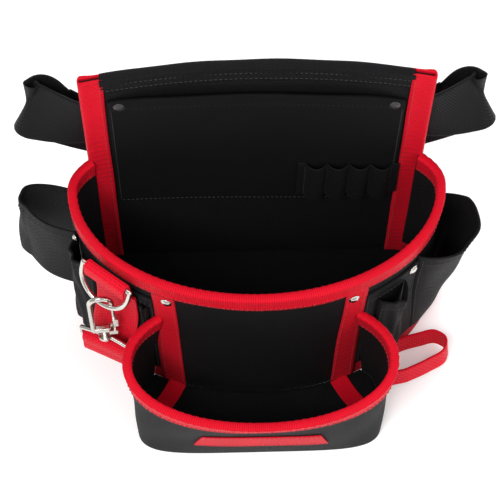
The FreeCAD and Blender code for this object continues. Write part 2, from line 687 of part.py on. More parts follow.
def belt_tunnel():
    """A sleeve on the rear of the back panel, sewn above and below the belt."""
    inner_height = "sizes.belt_width + 4"
    outside = doc.addObject("Part::Box", "tunnel_outside")
    bind(outside, Length="2 * sizes.tunnel_half_width", Width="sizes.belt_thick + 4",
         Height=f"{inner_height} + 14")
    bind(outside, **{"Placement.Base.x": "-sizes.tunnel_half_width",
                     "Placement.Base.y": "0.02", "Placement.Base.z": "sizes.belt_low - 9"})
    inside = doc.addObject("Part::Box", "tunnel_inside")
    bind(inside, Length="2 * sizes.tunnel_half_width + 20", Width="sizes.belt_thick + 2",
         Height=inner_height)
    bind(inside, **{"Placement.Base.x": "-sizes.tunnel_half_width - 10",
                    "Placement.Base.y": "0", "Placement.Base.z": "sizes.belt_low - 2"})
    sleeve = doc.addObject("Part::Cut", "belt_tunnel")
    sleeve.Base, sleeve.Tool = outside, inside
    keep(sleeve, "belt_tunnel")


def belt_front():
    """The run through the tunnel, out past both edges of the back panel to the folds. Each
    wing leans back a little more towards its fold."""
    half, low, width = size("back_half_width"), size("belt_low"), size("belt_width")
    reach, thick = size("belt_reach"), size("belt_thick")
    centre = low + width / 2
    centres, widths = [], []
    for share in (-1.0, -0.75, -0.5, -0.25, 0.0):
        swing = -share
        x = -half + (reach - half) * share
        lean = math.radians(20 * swing)
        centres.append(Vector(x, 2.8 + 12 * swing ** 1.5, centre))
        widths.append(Vector(0.40 * swing, math.sin(lean), math.cos(lean)))
    centres += [Vector(-x.x, x.y, x.z) for x in reversed(centres)]
    widths += [Vector(-w.x, w.y, w.z) for w in reversed(widths)]
    shaped("belt_front", ribbon(centres, widths, width, thick))


def belt_rear():
    """The two rear runs: each starts at a fold and sags to the buckle behind the pouch."""
    low, width, reach = size("belt_low"), size("belt_width"), size("belt_reach")
    thick, sag = size("belt_thick"), size("belt_sag")
    centre = low + width / 2
    bend = 3.2
    for side, hand in (("left", -1), ("right", 1)):
        fold = Vector(hand * (reach + 0.4), 15.4 + bend, centre)
        lean = Vector(-hand * 0.40, math.sin(math.radians(20)), math.cos(math.radians(20)))
        turns = [math.radians(-70 + 40 * step) for step in range(5)]
        centres = [fold + Vector(hand * bend * math.cos(turn), bend * math.sin(turn), 0)
                   for turn in turns]
        widths = [Vector(lean) for _ in turns]
        for share in (0.12, 0.25, 0.4, 0.6, 0.8, 1.0):
            x = mix(reach, 46.4, share)
            slope = math.radians(38 * (1 - share) ** 0.8)
            drop = sag * (1 - (1 - share) ** 2)
            lean_back = math.radians(20 * (1 - share) ** 2)
            centres.append(Vector(hand * x, 21.5 - 4 * math.sin(math.pi * share), centre - drop))
            slant = hand * (math.sin(slope) * 0.6 * min(4 * share, 1) - 0.40 * (1 - share) ** 3)
            widths.append(Vector(slant, math.sin(lean_back), math.cos(slope)))
        shaped(side + "_belt_rear", ribbon(centres, widths, width - 2, thick))


def box_at(name, low, high):
    """A block between two corners."""
    block = doc.addObject("Part::Box", name)
    block.Length, block.Width, block.Height = high - low
    block.Placement.Base = low
    return block


def less(name, base, tools):
    """A block with other blocks cut out of it."""
    group = doc.addObject("Part::MultiFuse", name + "_voids")
    group.Shapes = tools
    rest = doc.addObject("Part::Cut", name)
    rest.Base, rest.Tool = base, group
    return rest


LATCH_PIVOT = -9.0


def buckle():
    """A side-release buckle. The socket is on the right, the frame on the left, and each
    of the frame's two latches is a lever pressed in through the socket's side window."""
    half, deep, skin = size("buckle_half"), size("buckle_depth"), size("buckle_wall")
    centre = size("belt_low") + size("belt_width") / 2 - size("belt_sag")
    place = FreeCAD.Placement(Vector(0, 21.5, centre), FreeCAD.Rotation())
    body = box_at("socket_block", Vector(-6, -deep / 2, -half), Vector(46, deep / 2, half))
    hollow = box_at("socket_hollow", Vector(-8, -deep / 2 + skin, -half + 3),
                    Vector(27, deep / 2 - skin, half - 3))
    windows = box_at("socket_windows", Vector(5, -deep / 2 + skin, -half - 1),
                     Vector(24, deep / 2 - skin, half + 1))
    slots = [box_at(f"socket_slot_{x}", Vector(x, -deep, -half + 4), Vector(x + 5, deep, half - 4))
             for x in (31, 39)]
    keep(less("buckle_socket", body, [hollow, windows] + slots), "buckle_socket", place)
    rail = box_at("frame_block", Vector(-46, -3, -half), Vector(-7, 3, half))
    holes = [box_at(f"frame_slot_{-x}", Vector(x, -4, -half + 4), Vector(x + 5, 4, half - 4))
             for x in (-43, -33)]
    holes.append(box_at("frame_gap", Vector(-24, -4, -half + 6), Vector(-13, 4, half - 6)))
    ears = []
    for hand in (-1, 1):
        z = hand * (half - 10)
        ears.append(box_at(f"frame_notch_{hand}", Vector(-13.2, -4, z - 3.4), Vector(-6, 4, z + 3.4)))
    frame = less("buckle_frame_plate", rail, holes + ears)
    guide = box_at("frame_guide", Vector(-7.5, -2.5, -2.5), Vector(20, 2.5, 2.5))
    pins = [rod(f"latch_pin_{hand}", Vector(LATCH_PIVOT, -3, hand * (half - 10)),
                Vector(LATCH_PIVOT, 3, hand * (half - 10)), "0.9") for hand in (-1, 1)]
    fused("buckle_frame", [frame, guide] + pins, place)
    for side, hand in (("lower", -1), ("upper", 1)):
        latch(side, hand, half, place)


def latch(side, hand, half, place):
    """One lever: an arm from its pin, and a head whose outer face stands in the window."""
    z = hand * (half - 10)
    arm = box_at(side + "_latch_arm", Vector(LATCH_PIVOT, -2.9, z - 2), Vector(17, 2.9, z + 2))
    low, high = sorted((z + hand * 1.0, hand * (half + 1.2)))
    head = box_at(side + "_latch_head", Vector(8, -2.9, low), Vector(21, 2.9, high))
    eye = rod(side + "_latch_eye", Vector(LATCH_PIVOT, -2.9, z), Vector(LATCH_PIVOT, 2.9, z), "2.4")
    solid = doc.addObject("Part::MultiFuse", side + "_latch_solid")
    solid.Shapes = [arm, head, eye]
    bore = rod(side + "_latch_bore", Vector(LATCH_PIVOT, -4, z), Vector(LATCH_PIVOT, 4, z), "0.95")
    drilled = doc.addObject("Part::Cut", side + "_latch")
    drilled.Base, drilled.Tool = solid, bore
    keep(drilled, side + "_latch", place)


back_panel()
back_top_band()
back_bindings()
inner_slip_pocket()
inner_elastic_loops()
bowl_panels()
bottom_panel()
main_rim_binding()
front_seam_bindings()
tool_bands()
front_pocket()
rivets()
hammer_loop()
d_ring()
ring_webbing()
hook_body()
hook_gate()
hook_base()
tape_strap()
belt_tunnel()
belt_front()
belt_rear()
buckle()

doc.recompute()
for thing in doc.Objects:
    if {"Invalid", "Error"} & set(thing.State):
        raise RuntimeError(f"{thing.Label} failed to recompute")
os.makedirs("parts", exist_ok=True)
for piece in nodes:
    if piece.Shape.isNull() or not piece.Shape.isValid():
        raise RuntimeError(f"{piece.Label} has no valid shape")
for piece in nodes:
    box = piece.Shape.BoundBox
    piece.Shape.exportStep(f"parts/{piece.Label}.step")
    print(f"{piece.Label:28s} {len(piece.Shape.Solids)} solids {piece.Shape.Volume / 1000:9.2f} cm3"
          f"  x {box.XMin:.1f} {box.XMax:.1f}  y {box.YMin:.1f} {box.YMax:.1f}"
          f"  z {box.ZMin:.1f} {box.ZMax:.1f}")
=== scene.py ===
"""Electrician's tool pouch: black polyester pockets bound in red tape, with a tape strap on a
swivel snap hook, a hammer loop and a waist belt. Metres, +Z up, the pouch's front faces -Y.
"""

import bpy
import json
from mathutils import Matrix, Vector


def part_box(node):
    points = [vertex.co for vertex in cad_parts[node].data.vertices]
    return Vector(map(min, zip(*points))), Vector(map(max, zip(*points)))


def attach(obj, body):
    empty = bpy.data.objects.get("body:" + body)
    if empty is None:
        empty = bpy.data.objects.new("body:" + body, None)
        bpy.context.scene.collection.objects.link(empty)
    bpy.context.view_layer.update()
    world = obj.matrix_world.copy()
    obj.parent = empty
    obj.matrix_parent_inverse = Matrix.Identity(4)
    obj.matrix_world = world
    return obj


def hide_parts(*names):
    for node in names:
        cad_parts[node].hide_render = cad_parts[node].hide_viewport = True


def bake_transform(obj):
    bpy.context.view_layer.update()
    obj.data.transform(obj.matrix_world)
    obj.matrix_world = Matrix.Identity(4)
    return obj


bl_info = {
    "name": "Electrician's tool pouch",
    "version": (1, 0, 0),
    "blender": (4, 5, 0),
    "location": "View3D > Sidebar > Tool pouch",
    "description": "Builds the cloth, webbing, stitching and metalwork of a tool pouch",
    "category": "Object",
}

import json
import math

import bpy
import numpy as np
from bpy.props import FloatProperty, FloatVectorProperty, PointerProperty
from mathutils import Matrix, Vector

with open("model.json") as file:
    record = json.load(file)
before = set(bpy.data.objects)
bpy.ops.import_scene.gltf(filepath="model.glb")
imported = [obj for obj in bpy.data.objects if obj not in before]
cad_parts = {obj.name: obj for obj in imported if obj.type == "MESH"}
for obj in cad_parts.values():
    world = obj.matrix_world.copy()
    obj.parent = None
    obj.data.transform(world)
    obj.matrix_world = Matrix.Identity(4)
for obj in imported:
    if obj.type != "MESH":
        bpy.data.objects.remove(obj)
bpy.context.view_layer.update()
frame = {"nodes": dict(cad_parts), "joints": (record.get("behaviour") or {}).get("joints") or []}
MM = 0.001
POUCH = "pouch"
SLIP_LOW, SLIP_TOP, SLIP_HALF = 92 * MM, 228 * MM, 103 * MM


# ------------------------------------------------------------------ what a user may change

def linear(hex_colour):
    """An sRGB colour such as #E0112B as three linear numbers."""
    parts = [int(hex_colour[place:place + 2], 16) / 255 for place in (1, 3, 5)]
    return tuple(part / 12.92 if part <= 0.04045 else ((part + 0.055) / 1.055) ** 2.4
                 for part in parts)


def length(name, description, default):
    """A size in metres."""
    return FloatProperty(name=name, description=description, default=default, min=0.0,
                         unit="LENGTH", precision=4)


def colour(name, description, hex_colour):
    """A colour, given as sRGB hex."""
    return FloatVectorProperty(name=name, description=description, subtype="COLOR", size=3,
                               min=0.0, max=1.0, default=linear(hex_colour))


class PouchSizes(bpy.types.PropertyGroup):
    """The pouch's sizes."""
    panel: length("Back panel thickness", "Two layers of cloth over a stiffener", 3.0 * MM)
    cloth: length("Cloth thickness", "One wall of the pouch", 2.0 * MM)
    tape: length("Tape thickness", "The red binding tape", 1.3 * MM)
    flap: length("Tape flap", "How far the binding comes down each side of an edge", 15.0 * MM)
    back_half: length("Back half width", "Half the back panel's width",
                      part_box("back_panel")[1].x)
    back_side: length("Back side height", "Height of the back panel at its sides", 248.0 * MM)
    back_rise: length("Back arch", "How far the top edge rises to the middle", 18.0 * MM)
    rim: length("Rim height", "Height of the bowl's rim",
                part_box("main_rim_binding")[1].z - 1.3 * MM)
    rim_half: length("Rim half width", "Half the bowl's width at its rim", 134.0 * MM)
    base_half: length("Base half width", "Half the bowl's width at its floor", 141.0 * MM)
    centre: length("Bowl centre", "From the back panel to the bowl's widest line", 28.0 * MM)
    rim_depth: length("Rim depth", "From the widest line to the front at the rim", 92.0 * MM)
    base_depth: length("Base depth", "From the widest line to the front at the floor", 98.0 * MM)
    rim_seam: length("Rim seam", "Half the front panel's width at the rim", 66.0 * MM)
    base_seam: length("Base seam", "Half the front panel's width at the floor", 60.0 * MM)
    band_low: length("Band foot", "Height of the foot of the tool bands", 20.0 * MM)
    band_high: length("Band top", "Height of the top of the tool bands", 130.0 * MM)
    floor: length("Floor thickness", "The pouch's bottom", 3.0 * MM)
    pocket_rim: length("Front pocket height", "Height of the front pocket's rim", 98.0 * MM)
    label_top: length("Name strip top", "Height of the plain name strip's top edge", 54.0 * MM)
    label_height: length("Name strip height", "Height of the plain name strip", 26.0 * MM)
    webbing: length("Webbing width", "The tape strap's webbing", 38.0 * MM)
    webbing_thick: length("Webbing thickness", "The red webbing", 2.2 * MM)
    belt_reach: length("Belt fold", "From the middle to the fold at each side", 160.0 * MM)
    belt: length("Belt width", "The waist belt's webbing", 50.0 * MM)
    belt_thick: length("Belt thickness", "The waist belt's webbing", 2.4 * MM)
    stitch: length("Stitch pitch", "From one stitch to the next", 3.4 * MM)


class PouchColours(bpy.types.PropertyGroup):
    """The pouch's colours."""
    cloth: colour("Cloth", "Black polyester of the pockets", "#121214")
    lining: colour("Lining", "The inner pocket's cloth", "#0A0A0C")
    belt: colour("Belt", "Black webbing", "#121214")
    tape: colour("Binding tape", "Red grosgrain", "#D30622")
    webbing: colour("Red webbing", "Tape strap and hammer loop", "#DA0826")
    lower: colour("Red cloth", "Strips under the tool bands", "#C20E26")
    nickel: colour("Nickel", "Ring, hook and rivets", "#DAD6CF")
    plastic: colour("Acetal", "The belt's buckle", "#1A1A1B")


def sizes():
    return bpy.context.scene.pouch_sizes


def colours():
    return bpy.context.scene.pouch_colours


# ------------------------------------------------------------------ the pouch's surfaces

def pack(x, y, z):
    """Three arrays as one array of points."""
    return np.stack(np.broadcast_arrays(x, y, z), axis=-1)


def sink(station, height):
    """How far the bowl's cloth has sunk inward between its seams: three broad folds that
    fade out at the floor and under the rim, each a product of sines of station and height."""
    rise = np.clip(height / sizes().rim, 0, 1)
    fade = np.sin(np.pi * rise) ** 0.8
    broad = 0.5 + 0.5 * np.sin(2.1 * station + 7.0 * rise + 0.4)
    narrow = 0.5 + 0.5 * np.sin(7.3 * station - 9.0 * rise + 1.9)
    return fade * (1.6 * MM * broad + 0.7 * MM * narrow)


def bowl_ring(station, share, proud):
    """The bowl's outline at a share of its height, 0 or 1: an ellipse whose front half is
    the bowl's depth and whose back half returns to the back panel's corners, moved outward
    by proud. Stations 0 and 6 are the back corners, 2 and 4 the front seams, 3 the front."""
    s = sizes()
    half = s.rim_half if share else s.base_half
    seam = s.rim_seam if share else s.base_seam
    depth = s.rim_depth if share else s.base_depth
    corner = math.acos((s.back_half - 1 * MM) / half)
    inner = math.acos(seam / half)
    marks = [-corner, 0, inner, math.pi / 2, math.pi - inner, math.pi, math.pi + corner]
    angle = np.interp(station, np.arange(7), marks)
    back = (s.centre - s.panel - s.tape - 0.1 * MM) / math.sin(corner)
    reach = np.where(np.sin(angle) > 0, depth, back)
    out_x, out_y = np.cos(angle) / half, -np.sin(angle) / reach
    size = np.hypot(out_x, out_y)
    return (half * np.cos(angle) + out_x / size * proud,
            -s.centre - reach * np.sin(angle) + out_y / size * proud)


def bowl(station, height, proud=0.0):
    """A point on the bowl, straight from the floor's outline to the rim's."""
    station, height, proud = np.broadcast_arrays(station, height, proud)
    proud = proud - sink(station, height)
    low, high = bowl_ring(station, 0, proud), bowl_ring(station, 1, proud)
    share = height / sizes().rim
    return pack(low[0] + (high[0] - low[0]) * share, low[1] + (high[1] - low[1]) * share, height)


def front_ring(station, share, proud):
    """The front pocket's outline at its floor or rim: half a squared ellipse whose ends
    turn back to the bowl. Station 0 is its right end, 2 its middle and 4 its left end. Proud
    counts inward here, so the cloth lies from 0 out to minus its thickness."""
    s = sizes()
    half, depth, power = ((95 * MM, 50 * MM, 2 / 2.1) if share else (91 * MM, 31 * MM, 2 / 5.0))
    middle, turn = 142 * MM, math.radians(46)
    rear = middle - s.centre - (s.rim_depth if share else s.base_depth) * 0.84

    def at(angle):
        cosine, sine = np.cos(angle), np.sin(angle)
        reach = np.where(sine > 0, depth, rear / math.sin(turn) ** power)
        return (half * np.sign(cosine) * np.abs(cosine) ** power,
                -middle - reach * np.sign(sine) * np.abs(sine) ** power)

    angle = np.radians(-46 + 68 * np.asarray(station, float))
    ahead, behind, here = at(angle + 0.02), at(angle - 0.02), at(angle)
    along = np.stack([ahead[0] - behind[0], ahead[1] - behind[1]])
    along = along / np.hypot(*along)
    return here[0] + along[1] * proud, here[1] - along[0] * proud


def front_sag(station, share):
    """How far the front pocket's wall has moved inward between its rim and floor, with a few
    shallow creases: products of sines of station and height."""
    belly = np.sin(np.pi * np.clip(station / 4, 0, 1)) ** 2 * np.sin(np.pi * share)
    crease = np.sin(5.2 * station + 6 * share) * np.sin(np.pi * share) ** 1.5
    return 1.5 * MM * belly + 0.9 * MM * crease


def front(station, height, proud=0.0):
    """A point on the front pocket's inner face, straight from its floor's outline to its
    rim's. Proud counts inward."""
    station, height, proud = np.broadcast_arrays(station, height, proud)
    share = height / sizes().pocket_rim
    proud = proud + front_sag(station, np.clip(share, 0, 1))
    low, high = front_ring(station, 0, proud), front_ring(station, 1, proud)
    dip = 2.5 * MM * np.sin(np.pi * station / 4) ** 4 * np.clip(share, 0, 1) ** 2
    return pack(low[0] + (high[0] - low[0]) * share, low[1] + (high[1] - low[1]) * share,
                height - dip)


def arch(across):
    """How far the back panel's top edge is above its sides: a flat arc of a circle."""
    s = sizes()
    radius = (s.back_half ** 2 + s.back_rise ** 2) / (2 * s.back_rise)
    inside = np.minimum(np.abs(across), s.back_half)
    return np.sqrt(radius ** 2 - inside ** 2) - (radius - s.back_rise)


def back(across, height, proud=0.0):
    """A point on the back panel: proud is in front of its front face. Heights stretch with
    the arch, and the panel waves by under a millimetre."""
    s = sizes()
    across, height, proud = np.broadcast_arrays(across, height, proud)
    wave = 0.8 * MM * np.sin(across / (31 * MM)) * np.sin(np.pi * height / s.back_side)
    return pack(across, -s.panel - proud - wave * (np.abs(across) < s.back_half),
                height * (1 + arch(across) / s.back_side))


def bulge(start, end, reach, lean, low_reach, dip=0.0):
    """An outline that leaves the bowl between two stations, by reach at the bands' top and
    low_reach at their foot, furthest past the middle by lean. Its mouth sags by dip."""
    def outline(station, height, proud=0.0):
        s = sizes()
        station, height, proud = np.broadcast_arrays(station, height, proud)
        share = np.clip((station - start) / (end - start), 0, 1)
        rise = (height - s.band_low) / (s.band_high - s.band_low)
        swell = np.sin(np.pi * share ** lean).clip(0, 1) ** 0.8
        out = low_reach + (reach - low_reach) * rise
        crease = swell * (1.3 * MM * np.sin(9 * share + 6 * rise)
                          + 0.7 * MM * np.sin(21 * share - 8 * rise))
        points = bowl(station, height, proud + out * swell + crease)
        points[..., 2] -= dip * swell * np.clip(rise, 0, 1) ** 2
        return points
    return outline


# ------------------------------------------------------------------ closed meshes from grids

def run_lengths(points):
    """Distance along each row of points, starting from 0."""
    steps = np.linalg.norm(np.diff(points, axis=0), axis=-1)
    return np.concatenate([[0.0], np.cumsum(steps)])


def loft(name, sections):
    """A closed skin over a row of closed sections, an array of path x loop points. Its UV map
    is in metres: U along the path and V round the loop. Flat faces close both ends."""
    sections = np.asarray(sections, float)
    rows, loop = sections.shape[:2]
    row, column = np.meshgrid(np.arange(rows - 1), np.arange(loop), indexing="ij")
    beside = (column + 1) % loop
    quads = np.stack([row * loop + column, row * loop + beside,
                      (row + 1) * loop + beside, (row + 1) * loop + column], -1).reshape(-1, 4)
    points = sections.reshape(-1, 3)
    corner = points[quads]
    turned = np.cross(corner[:, 2] - corner[:, 0], corner[:, 3] - corner[:, 1])
    volume = (corner.mean(1) * turned).sum()
    ends = [np.arange(loop)[::-1], (rows - 1) * loop + np.arange(loop)]
    flip = volume < 0
    if flip:
        quads = quads[:, ::-1]
        ends = [end[::-1] for end in ends]
    along = run_lengths(sections.mean(1))
    around = run_lengths(np.concatenate([sections[rows // 2], sections[rows // 2][:1]]))
    across = np.where(column == loop - 1, loop, column + 1)
    u = np.stack([along[row], along[row], along[row + 1], along[row + 1]], -1).reshape(-1, 4)
    v = np.stack([around[column], around[across], around[across], around[column]], -1)
    v = v.reshape(-1, 4)
    if flip:
        u, v = u[:, ::-1], v[:, ::-1]
    uv = np.concatenate([np.stack([u, v], -1).reshape(-1, 2)]
                        + [np.stack([np.full(loop, along[end // loop].mean()),
                                     around[end % loop]], -1) for end in ends])
    mesh = bpy.data.meshes.new(name)
    mesh.vertices.add(len(points))
    mesh.vertices.foreach_set("co", points.ravel())
    corners = np.concatenate([quads.ravel()] + ends)
    mesh.loops.add(len(corners))
    mesh.loops.foreach_set("vertex_index", corners.astype(np.int32))
    counts = np.concatenate([np.full(len(quads), 4), [loop, loop]])
    mesh.polygons.add(len(counts))
    mesh.polygons.foreach_set("loop_start",
                              np.concatenate([[0], np.cumsum(counts)[:-1]]).astype(np.int32))
    mesh.polygons.foreach_set("use_smooth",
                              np.concatenate([np.ones(len(quads), bool), [False, False]]))
    mesh.uv_layers.new(name="UVMap").data.foreach_set("uv", uv.ravel())
    mesh.update(calc_edges=True)
    mesh.validate()
    piece = bpy.data.objects.new(name, mesh)
    bpy.context.scene.collection.objects.link(piece)
    return piece


def joined(name, pieces):
    """Several meshes as one piece."""
    bpy.ops.object.select_all(action="DESELECT")
    for piece in pieces:
        piece.select_set(True)
    bpy.context.view_layer.objects.active = pieces[0]
    bpy.ops.object.join()
    pieces[0].name = name
    pieces[0].data.name = name
    return pieces[0]


def dress(piece, material, body=POUCH, nodes=()):
    """Gives a piece its material, its body and the CAD nodes it stands for."""
    piece.data.materials.clear()
    piece.data.materials.append(material_of(material))
    if body:
        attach(piece, body)
    if nodes:
        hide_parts(*nodes)
    return piece


def slab(low, high, inner, outer, rows=18, hem=0.0, hem_height=12 * MM):
    """The closed section of one wall of cloth: heights and prouds, up the outside, round the
    top edge, down the inside and round the foot. A folded hem stands hem further out."""
    half, middle = (outer - inner) / 2, (outer + inner) / 2
    rise = np.linspace(low + half, high - half, rows)
    fold = hem * np.clip((rise - (high - hem_height)) / (1.2 * MM), 0, 1)
    turn = np.linspace(0, np.pi, 6)[1:-1]
    top = (high - half + half * np.sin(turn), middle + half * np.cos(turn) * (1 + hem / half))
    foot = (low + half - half * np.sin(turn), middle - half * np.cos(turn))
    heights = np.concatenate([rise, top[0], rise[::-1], foot[0]])
    prouds = np.concatenate([outer + fold, top[1], inner - fold[::-1], foot[1]])
    return heights, prouds


def wall(name, outline, start, end, low, high, inner, outer, count=60, rows=18, hem=0.0):
    """Cloth that follows an outline between two stations, two heights and two offsets."""
    station = np.linspace(start, end, count)[:, None]
    heights, prouds = slab(low, high, inner, outer, rows, hem)
    return loft(name, outline(station, heights[None, :], prouds[None, :]))


def fold_section(top, flap, cloth, tape, flat=7):
    """The closed section of tape folded over an edge of cloth: heights and prouds down the
    outer flap, over the fold and down the inner flap, then back along the hidden side."""
    down = np.linspace(0, flap, flat)
    turn = np.linspace(0, np.pi, 9)[1:-1]
    radius, hidden = cloth / 2 + tape, cloth / 2 + 0.05 * MM
    heights = np.concatenate([top - down[::-1], top + radius * np.sin(turn) * 0.8, top - down,
                              top - down[::-1], top + hidden * np.sin(turn) * 0.8, top - down])
    prouds = np.concatenate([np.full(flat, radius), radius * np.cos(turn), np.full(flat, -radius),
                             np.full(flat, -hidden), -hidden * np.cos(turn),
                             np.full(flat, hidden)])
    outer = np.concatenate([np.ones(2 * flat + 7), np.zeros(2 * flat + 7)])
    puff = 1 + outer * (0.5 * np.exp(-((top - heights).clip(0) / (5 * MM)) ** 2))
    return heights, prouds * puff - cloth / 2, outer * np.sign(prouds), outer


def binding(name, outline, start, end, top, count, seed=0):
    """Tape folded over the top edge of cloth, puckered by its stitching: ripples across it
    as long as two stitches, whose height changes along the edge."""
    s = sizes()
    station = np.linspace(start, end, count)[:, None]
    heights, prouds, side, outer = fold_section(top, s.flap, s.cloth, s.tape)
    along = run_lengths(outline(station[:, 0], top, 0.0))[:, None]
    random = np.random.default_rng(seed)
    phase = random.uniform(0, 6.28, 4)
    size = 0.55 + 0.45 * np.sin(along / (23 * MM) + phase[0]) * np.sin(along / (9 * MM) + phase[1])
    ripple = 0.22 * MM * size * np.sin(2 * np.pi * along / (5.5 * MM) + phase[2])
    low = 0.6 * MM * np.sin(along / (17 * MM) + phase[3])
    share = np.clip((top - heights) / s.flap, 0, 1)[None, :]
    lift = ripple * side[None, :] * (1 - 0.5 * share)
    return loft(name, outline(station, heights[None, :] - low * share * outer[None, :],
                              prouds[None, :] + lift))


def smooth_path(points, count):
    """A smooth curve through the points: the cubic whose slope at each point is that of the
    line between its neighbours, at count places evenly spaced by chord."""
    points = np.asarray(points, float)
    chord = run_lengths(points)
    slope = np.gradient(points, chord, axis=0)
    at = np.linspace(0, chord[-1], count)
    index = np.clip(np.searchsorted(chord, at, side="right") - 1, 0, len(points) - 2)
    width = (chord[index + 1] - chord[index])[:, None]
    t = (at - chord[index])[:, None] / width
    return (points[index] * (2 * t ** 3 - 3 * t ** 2 + 1)
            + slope[index] * width * (t ** 3 - 2 * t ** 2 + t)
            + points[index + 1] * (-2 * t ** 3 + 3 * t ** 2)
            + slope[index + 1] * width * (t ** 3 - t ** 2))


def unit(vectors):
    return vectors / np.linalg.norm(vectors, axis=-1, keepdims=True)


def ribbon_frames(centres, across, count):
    """Centres, directions across and directions out of the face along smooth webbing."""
    centre = smooth_path(centres, count)
    chord = run_lengths(np.asarray(centres, float))
    at = np.linspace(0, chord[-1], count)
    side = np.stack([np.interp(at, chord, np.asarray(across, float)[:, axis])
                     for axis in range(3)], -1)
    ahead = unit(np.gradient(centre, axis=0))
    side = unit(side - (side * ahead).sum(-1, keepdims=True) * ahead)
    return centre, side, np.cross(ahead, side)


def webbing(name, centres, across, width, thick, count=90, columns=15):
    """Flat webbing carried along a path: a rectangle with round, slightly thicker edges."""
    centre, side, face = ribbon_frames(centres, across, count)
    half = width / 2 - thick / 2
    flat = np.linspace(-half, half, columns)
    edge = thick / 2 * (1 - 0.12 * np.cos(np.pi * flat / half / 2) ** 0.5)
    turn = np.linspace(np.pi / 2, -np.pi / 2, 6)[1:-1]
    wide = np.concatenate([flat, half + thick / 2 * np.cos(turn), flat[::-1],
                           -half - thick / 2 * np.cos(turn)])
    deep = np.concatenate([edge, thick / 2 * np.sin(turn), -edge[::-1],
                           -thick / 2 * np.sin(turn)])
    return loft(name, centre[:, None] + side[:, None] * wide[None, :, None]
                + face[:, None] * deep[None, :, None])


def stitches(name, path, outward, radius=0.36 * MM):
    """A row of thread stitches along a path: each a short closed spindle, five rings of six
    points, that stands a little out of the cloth in its middle and dips in at its ends."""
    along = run_lengths(path)
    pitch = sizes().stitch
    number = max(int(along[-1] / pitch), 1)
    centre = (np.arange(number) + 0.5) * pitch
    spread = np.linspace(-0.36, 0.36, 5) * pitch
    at = centre[:, None] + spread[None, :]
    place = np.stack([np.interp(at, along, path[:, axis]) for axis in range(3)], -1)
    out = unit(np.stack([np.interp(at, along, outward[:, axis]) for axis in range(3)], -1))
    ahead = unit(np.gradient(place, axis=1))
    side = np.cross(ahead, out)
    thick = radius * np.array([0.35, 0.9, 1.0, 0.9, 0.35])[None, :, None, None]
    rise = radius * np.array([-0.5, 0.2, 0.45, 0.2, -0.5])[None, :, None]
    turn = np.linspace(0, 2 * np.pi, 7)[:-1][None, None, :, None]
    ring = ((place + out * rise)[:, :, None]
            + thick * (out[:, :, None] * np.cos(turn) + side[:, :, None] * np.sin(turn)))
    points = ring.reshape(-1, 3)
    base = (np.arange(number) * 30)[:, None]
    row, column = (grid.ravel() for grid in np.meshgrid(np.arange(4), np.arange(6),
                                                        indexing="ij"))
    beside = (column + 1) % 6
    quad = np.stack([row * 6 + column, (row + 1) * 6 + column,
                     (row + 1) * 6 + beside, row * 6 + beside], -1)
    quads = (base[:, :, None] + quad[None]).reshape(-1, 4)
    caps = np.concatenate([base + np.arange(6)[None], base + 24 + np.arange(6)[::-1][None]])
    mesh = bpy.data.meshes.new(name)
    mesh.from_pydata(points.tolist(), [], quads.tolist() + caps.tolist())
    mesh.polygons.foreach_set("use_smooth", np.ones(len(mesh.polygons), bool))
    mesh.update()
    piece = bpy.data.objects.new(name, mesh)
    bpy.context.scene.collection.objects.link(piece)
    return piece


def row_on(outline, station, height, proud, side=1):
    """A path for stitches on an outline, with the direction out of it at each place, or with
    side -1 the direction into it."""
    station, height = np.broadcast_arrays(np.asarray(station, float), np.asarray(height, float))
    path = outline(station, height, proud)
    return path, side * unit(outline(station, height, proud + 1 * MM) - path)


def sew(name, rows, material, body=POUCH):
    """One piece of thread from several rows of path and outward directions."""
    made = [stitches(f"{name}_{index}", path, outward) for index, (path, outward)
            in enumerate(rows)]
    return dress(joined(name, made) if len(made) > 1 else made[0], material, body)


def domes(name, centres, outwards, radius, rise):
    """Rivet heads with a low rim: a profile turned about each head's own axis, its radius
    and height given at nine places from the foot to the crown."""
    far = np.array([0.62, 1.0, 1.0, 0.93, 0.86, 0.80, 0.62, 0.36, 0.10]) * radius
    up = np.array([-0.1, -0.1, 0.12, 0.22, 0.22, 0.34, 0.74, 0.94, 1.0]) * rise
    turn = np.linspace(0, 2 * np.pi, 25)[:-1]
    made = []
    for index, (centre, outward) in enumerate(zip(centres, outwards)):
        side = unit(np.cross(outward, [0.0, 0.0, 1.0]))
        other = np.cross(outward, side)
        around = side * np.cos(turn)[:, None] + other * np.sin(turn)[:, None]
        made.append(loft(f"{name}_{index}", centre + around[None] * far[:, None, None]
                         + outward * up[:, None, None]))
    return joined(name, made)


# ------------------------------------------------------------------ materials

def add(tree, kind, settings=(), **links):
    """Adds a node, sets its properties, and sets or links its inputs by name or number."""
    node = tree.nodes.new(kind)
    for key, value in dict(settings).items():
        setattr(node, key, value)
    for key, value in links.items():
        socket = node.inputs[int(key[1:])] if key[1:].isdigit() else node.inputs[
            key.replace("_", " ")]
        if isinstance(value, bpy.types.NodeSocket):
            tree.links.new(value, socket)
        else:
            socket.default_value = value
    return node


def new_material(name, **shader):
    """An empty material with one Principled shader, whose constants are set here."""
    material = bpy.data.materials.new(name)
    material.use_nodes = True
    tree = material.node_tree
    principled = tree.nodes["Principled BSDF"]
    for key, value in shader.items():
        principled.inputs[key.replace("_", " ")].default_value = value
    return material, tree, principled


def ribs(tree, distance, pitch):
    """Round ribs across a distance in metres: the size of a sine whose half wave is pitch."""
    value = distance
    for operation, second in (("MULTIPLY", math.pi / pitch), ("SINE", 0.0), ("ABSOLUTE", 0.0)):
        value = add(tree, "ShaderNodeMath", {"operation": operation},
                    _0=value, _1=second).outputs[0]
    return value


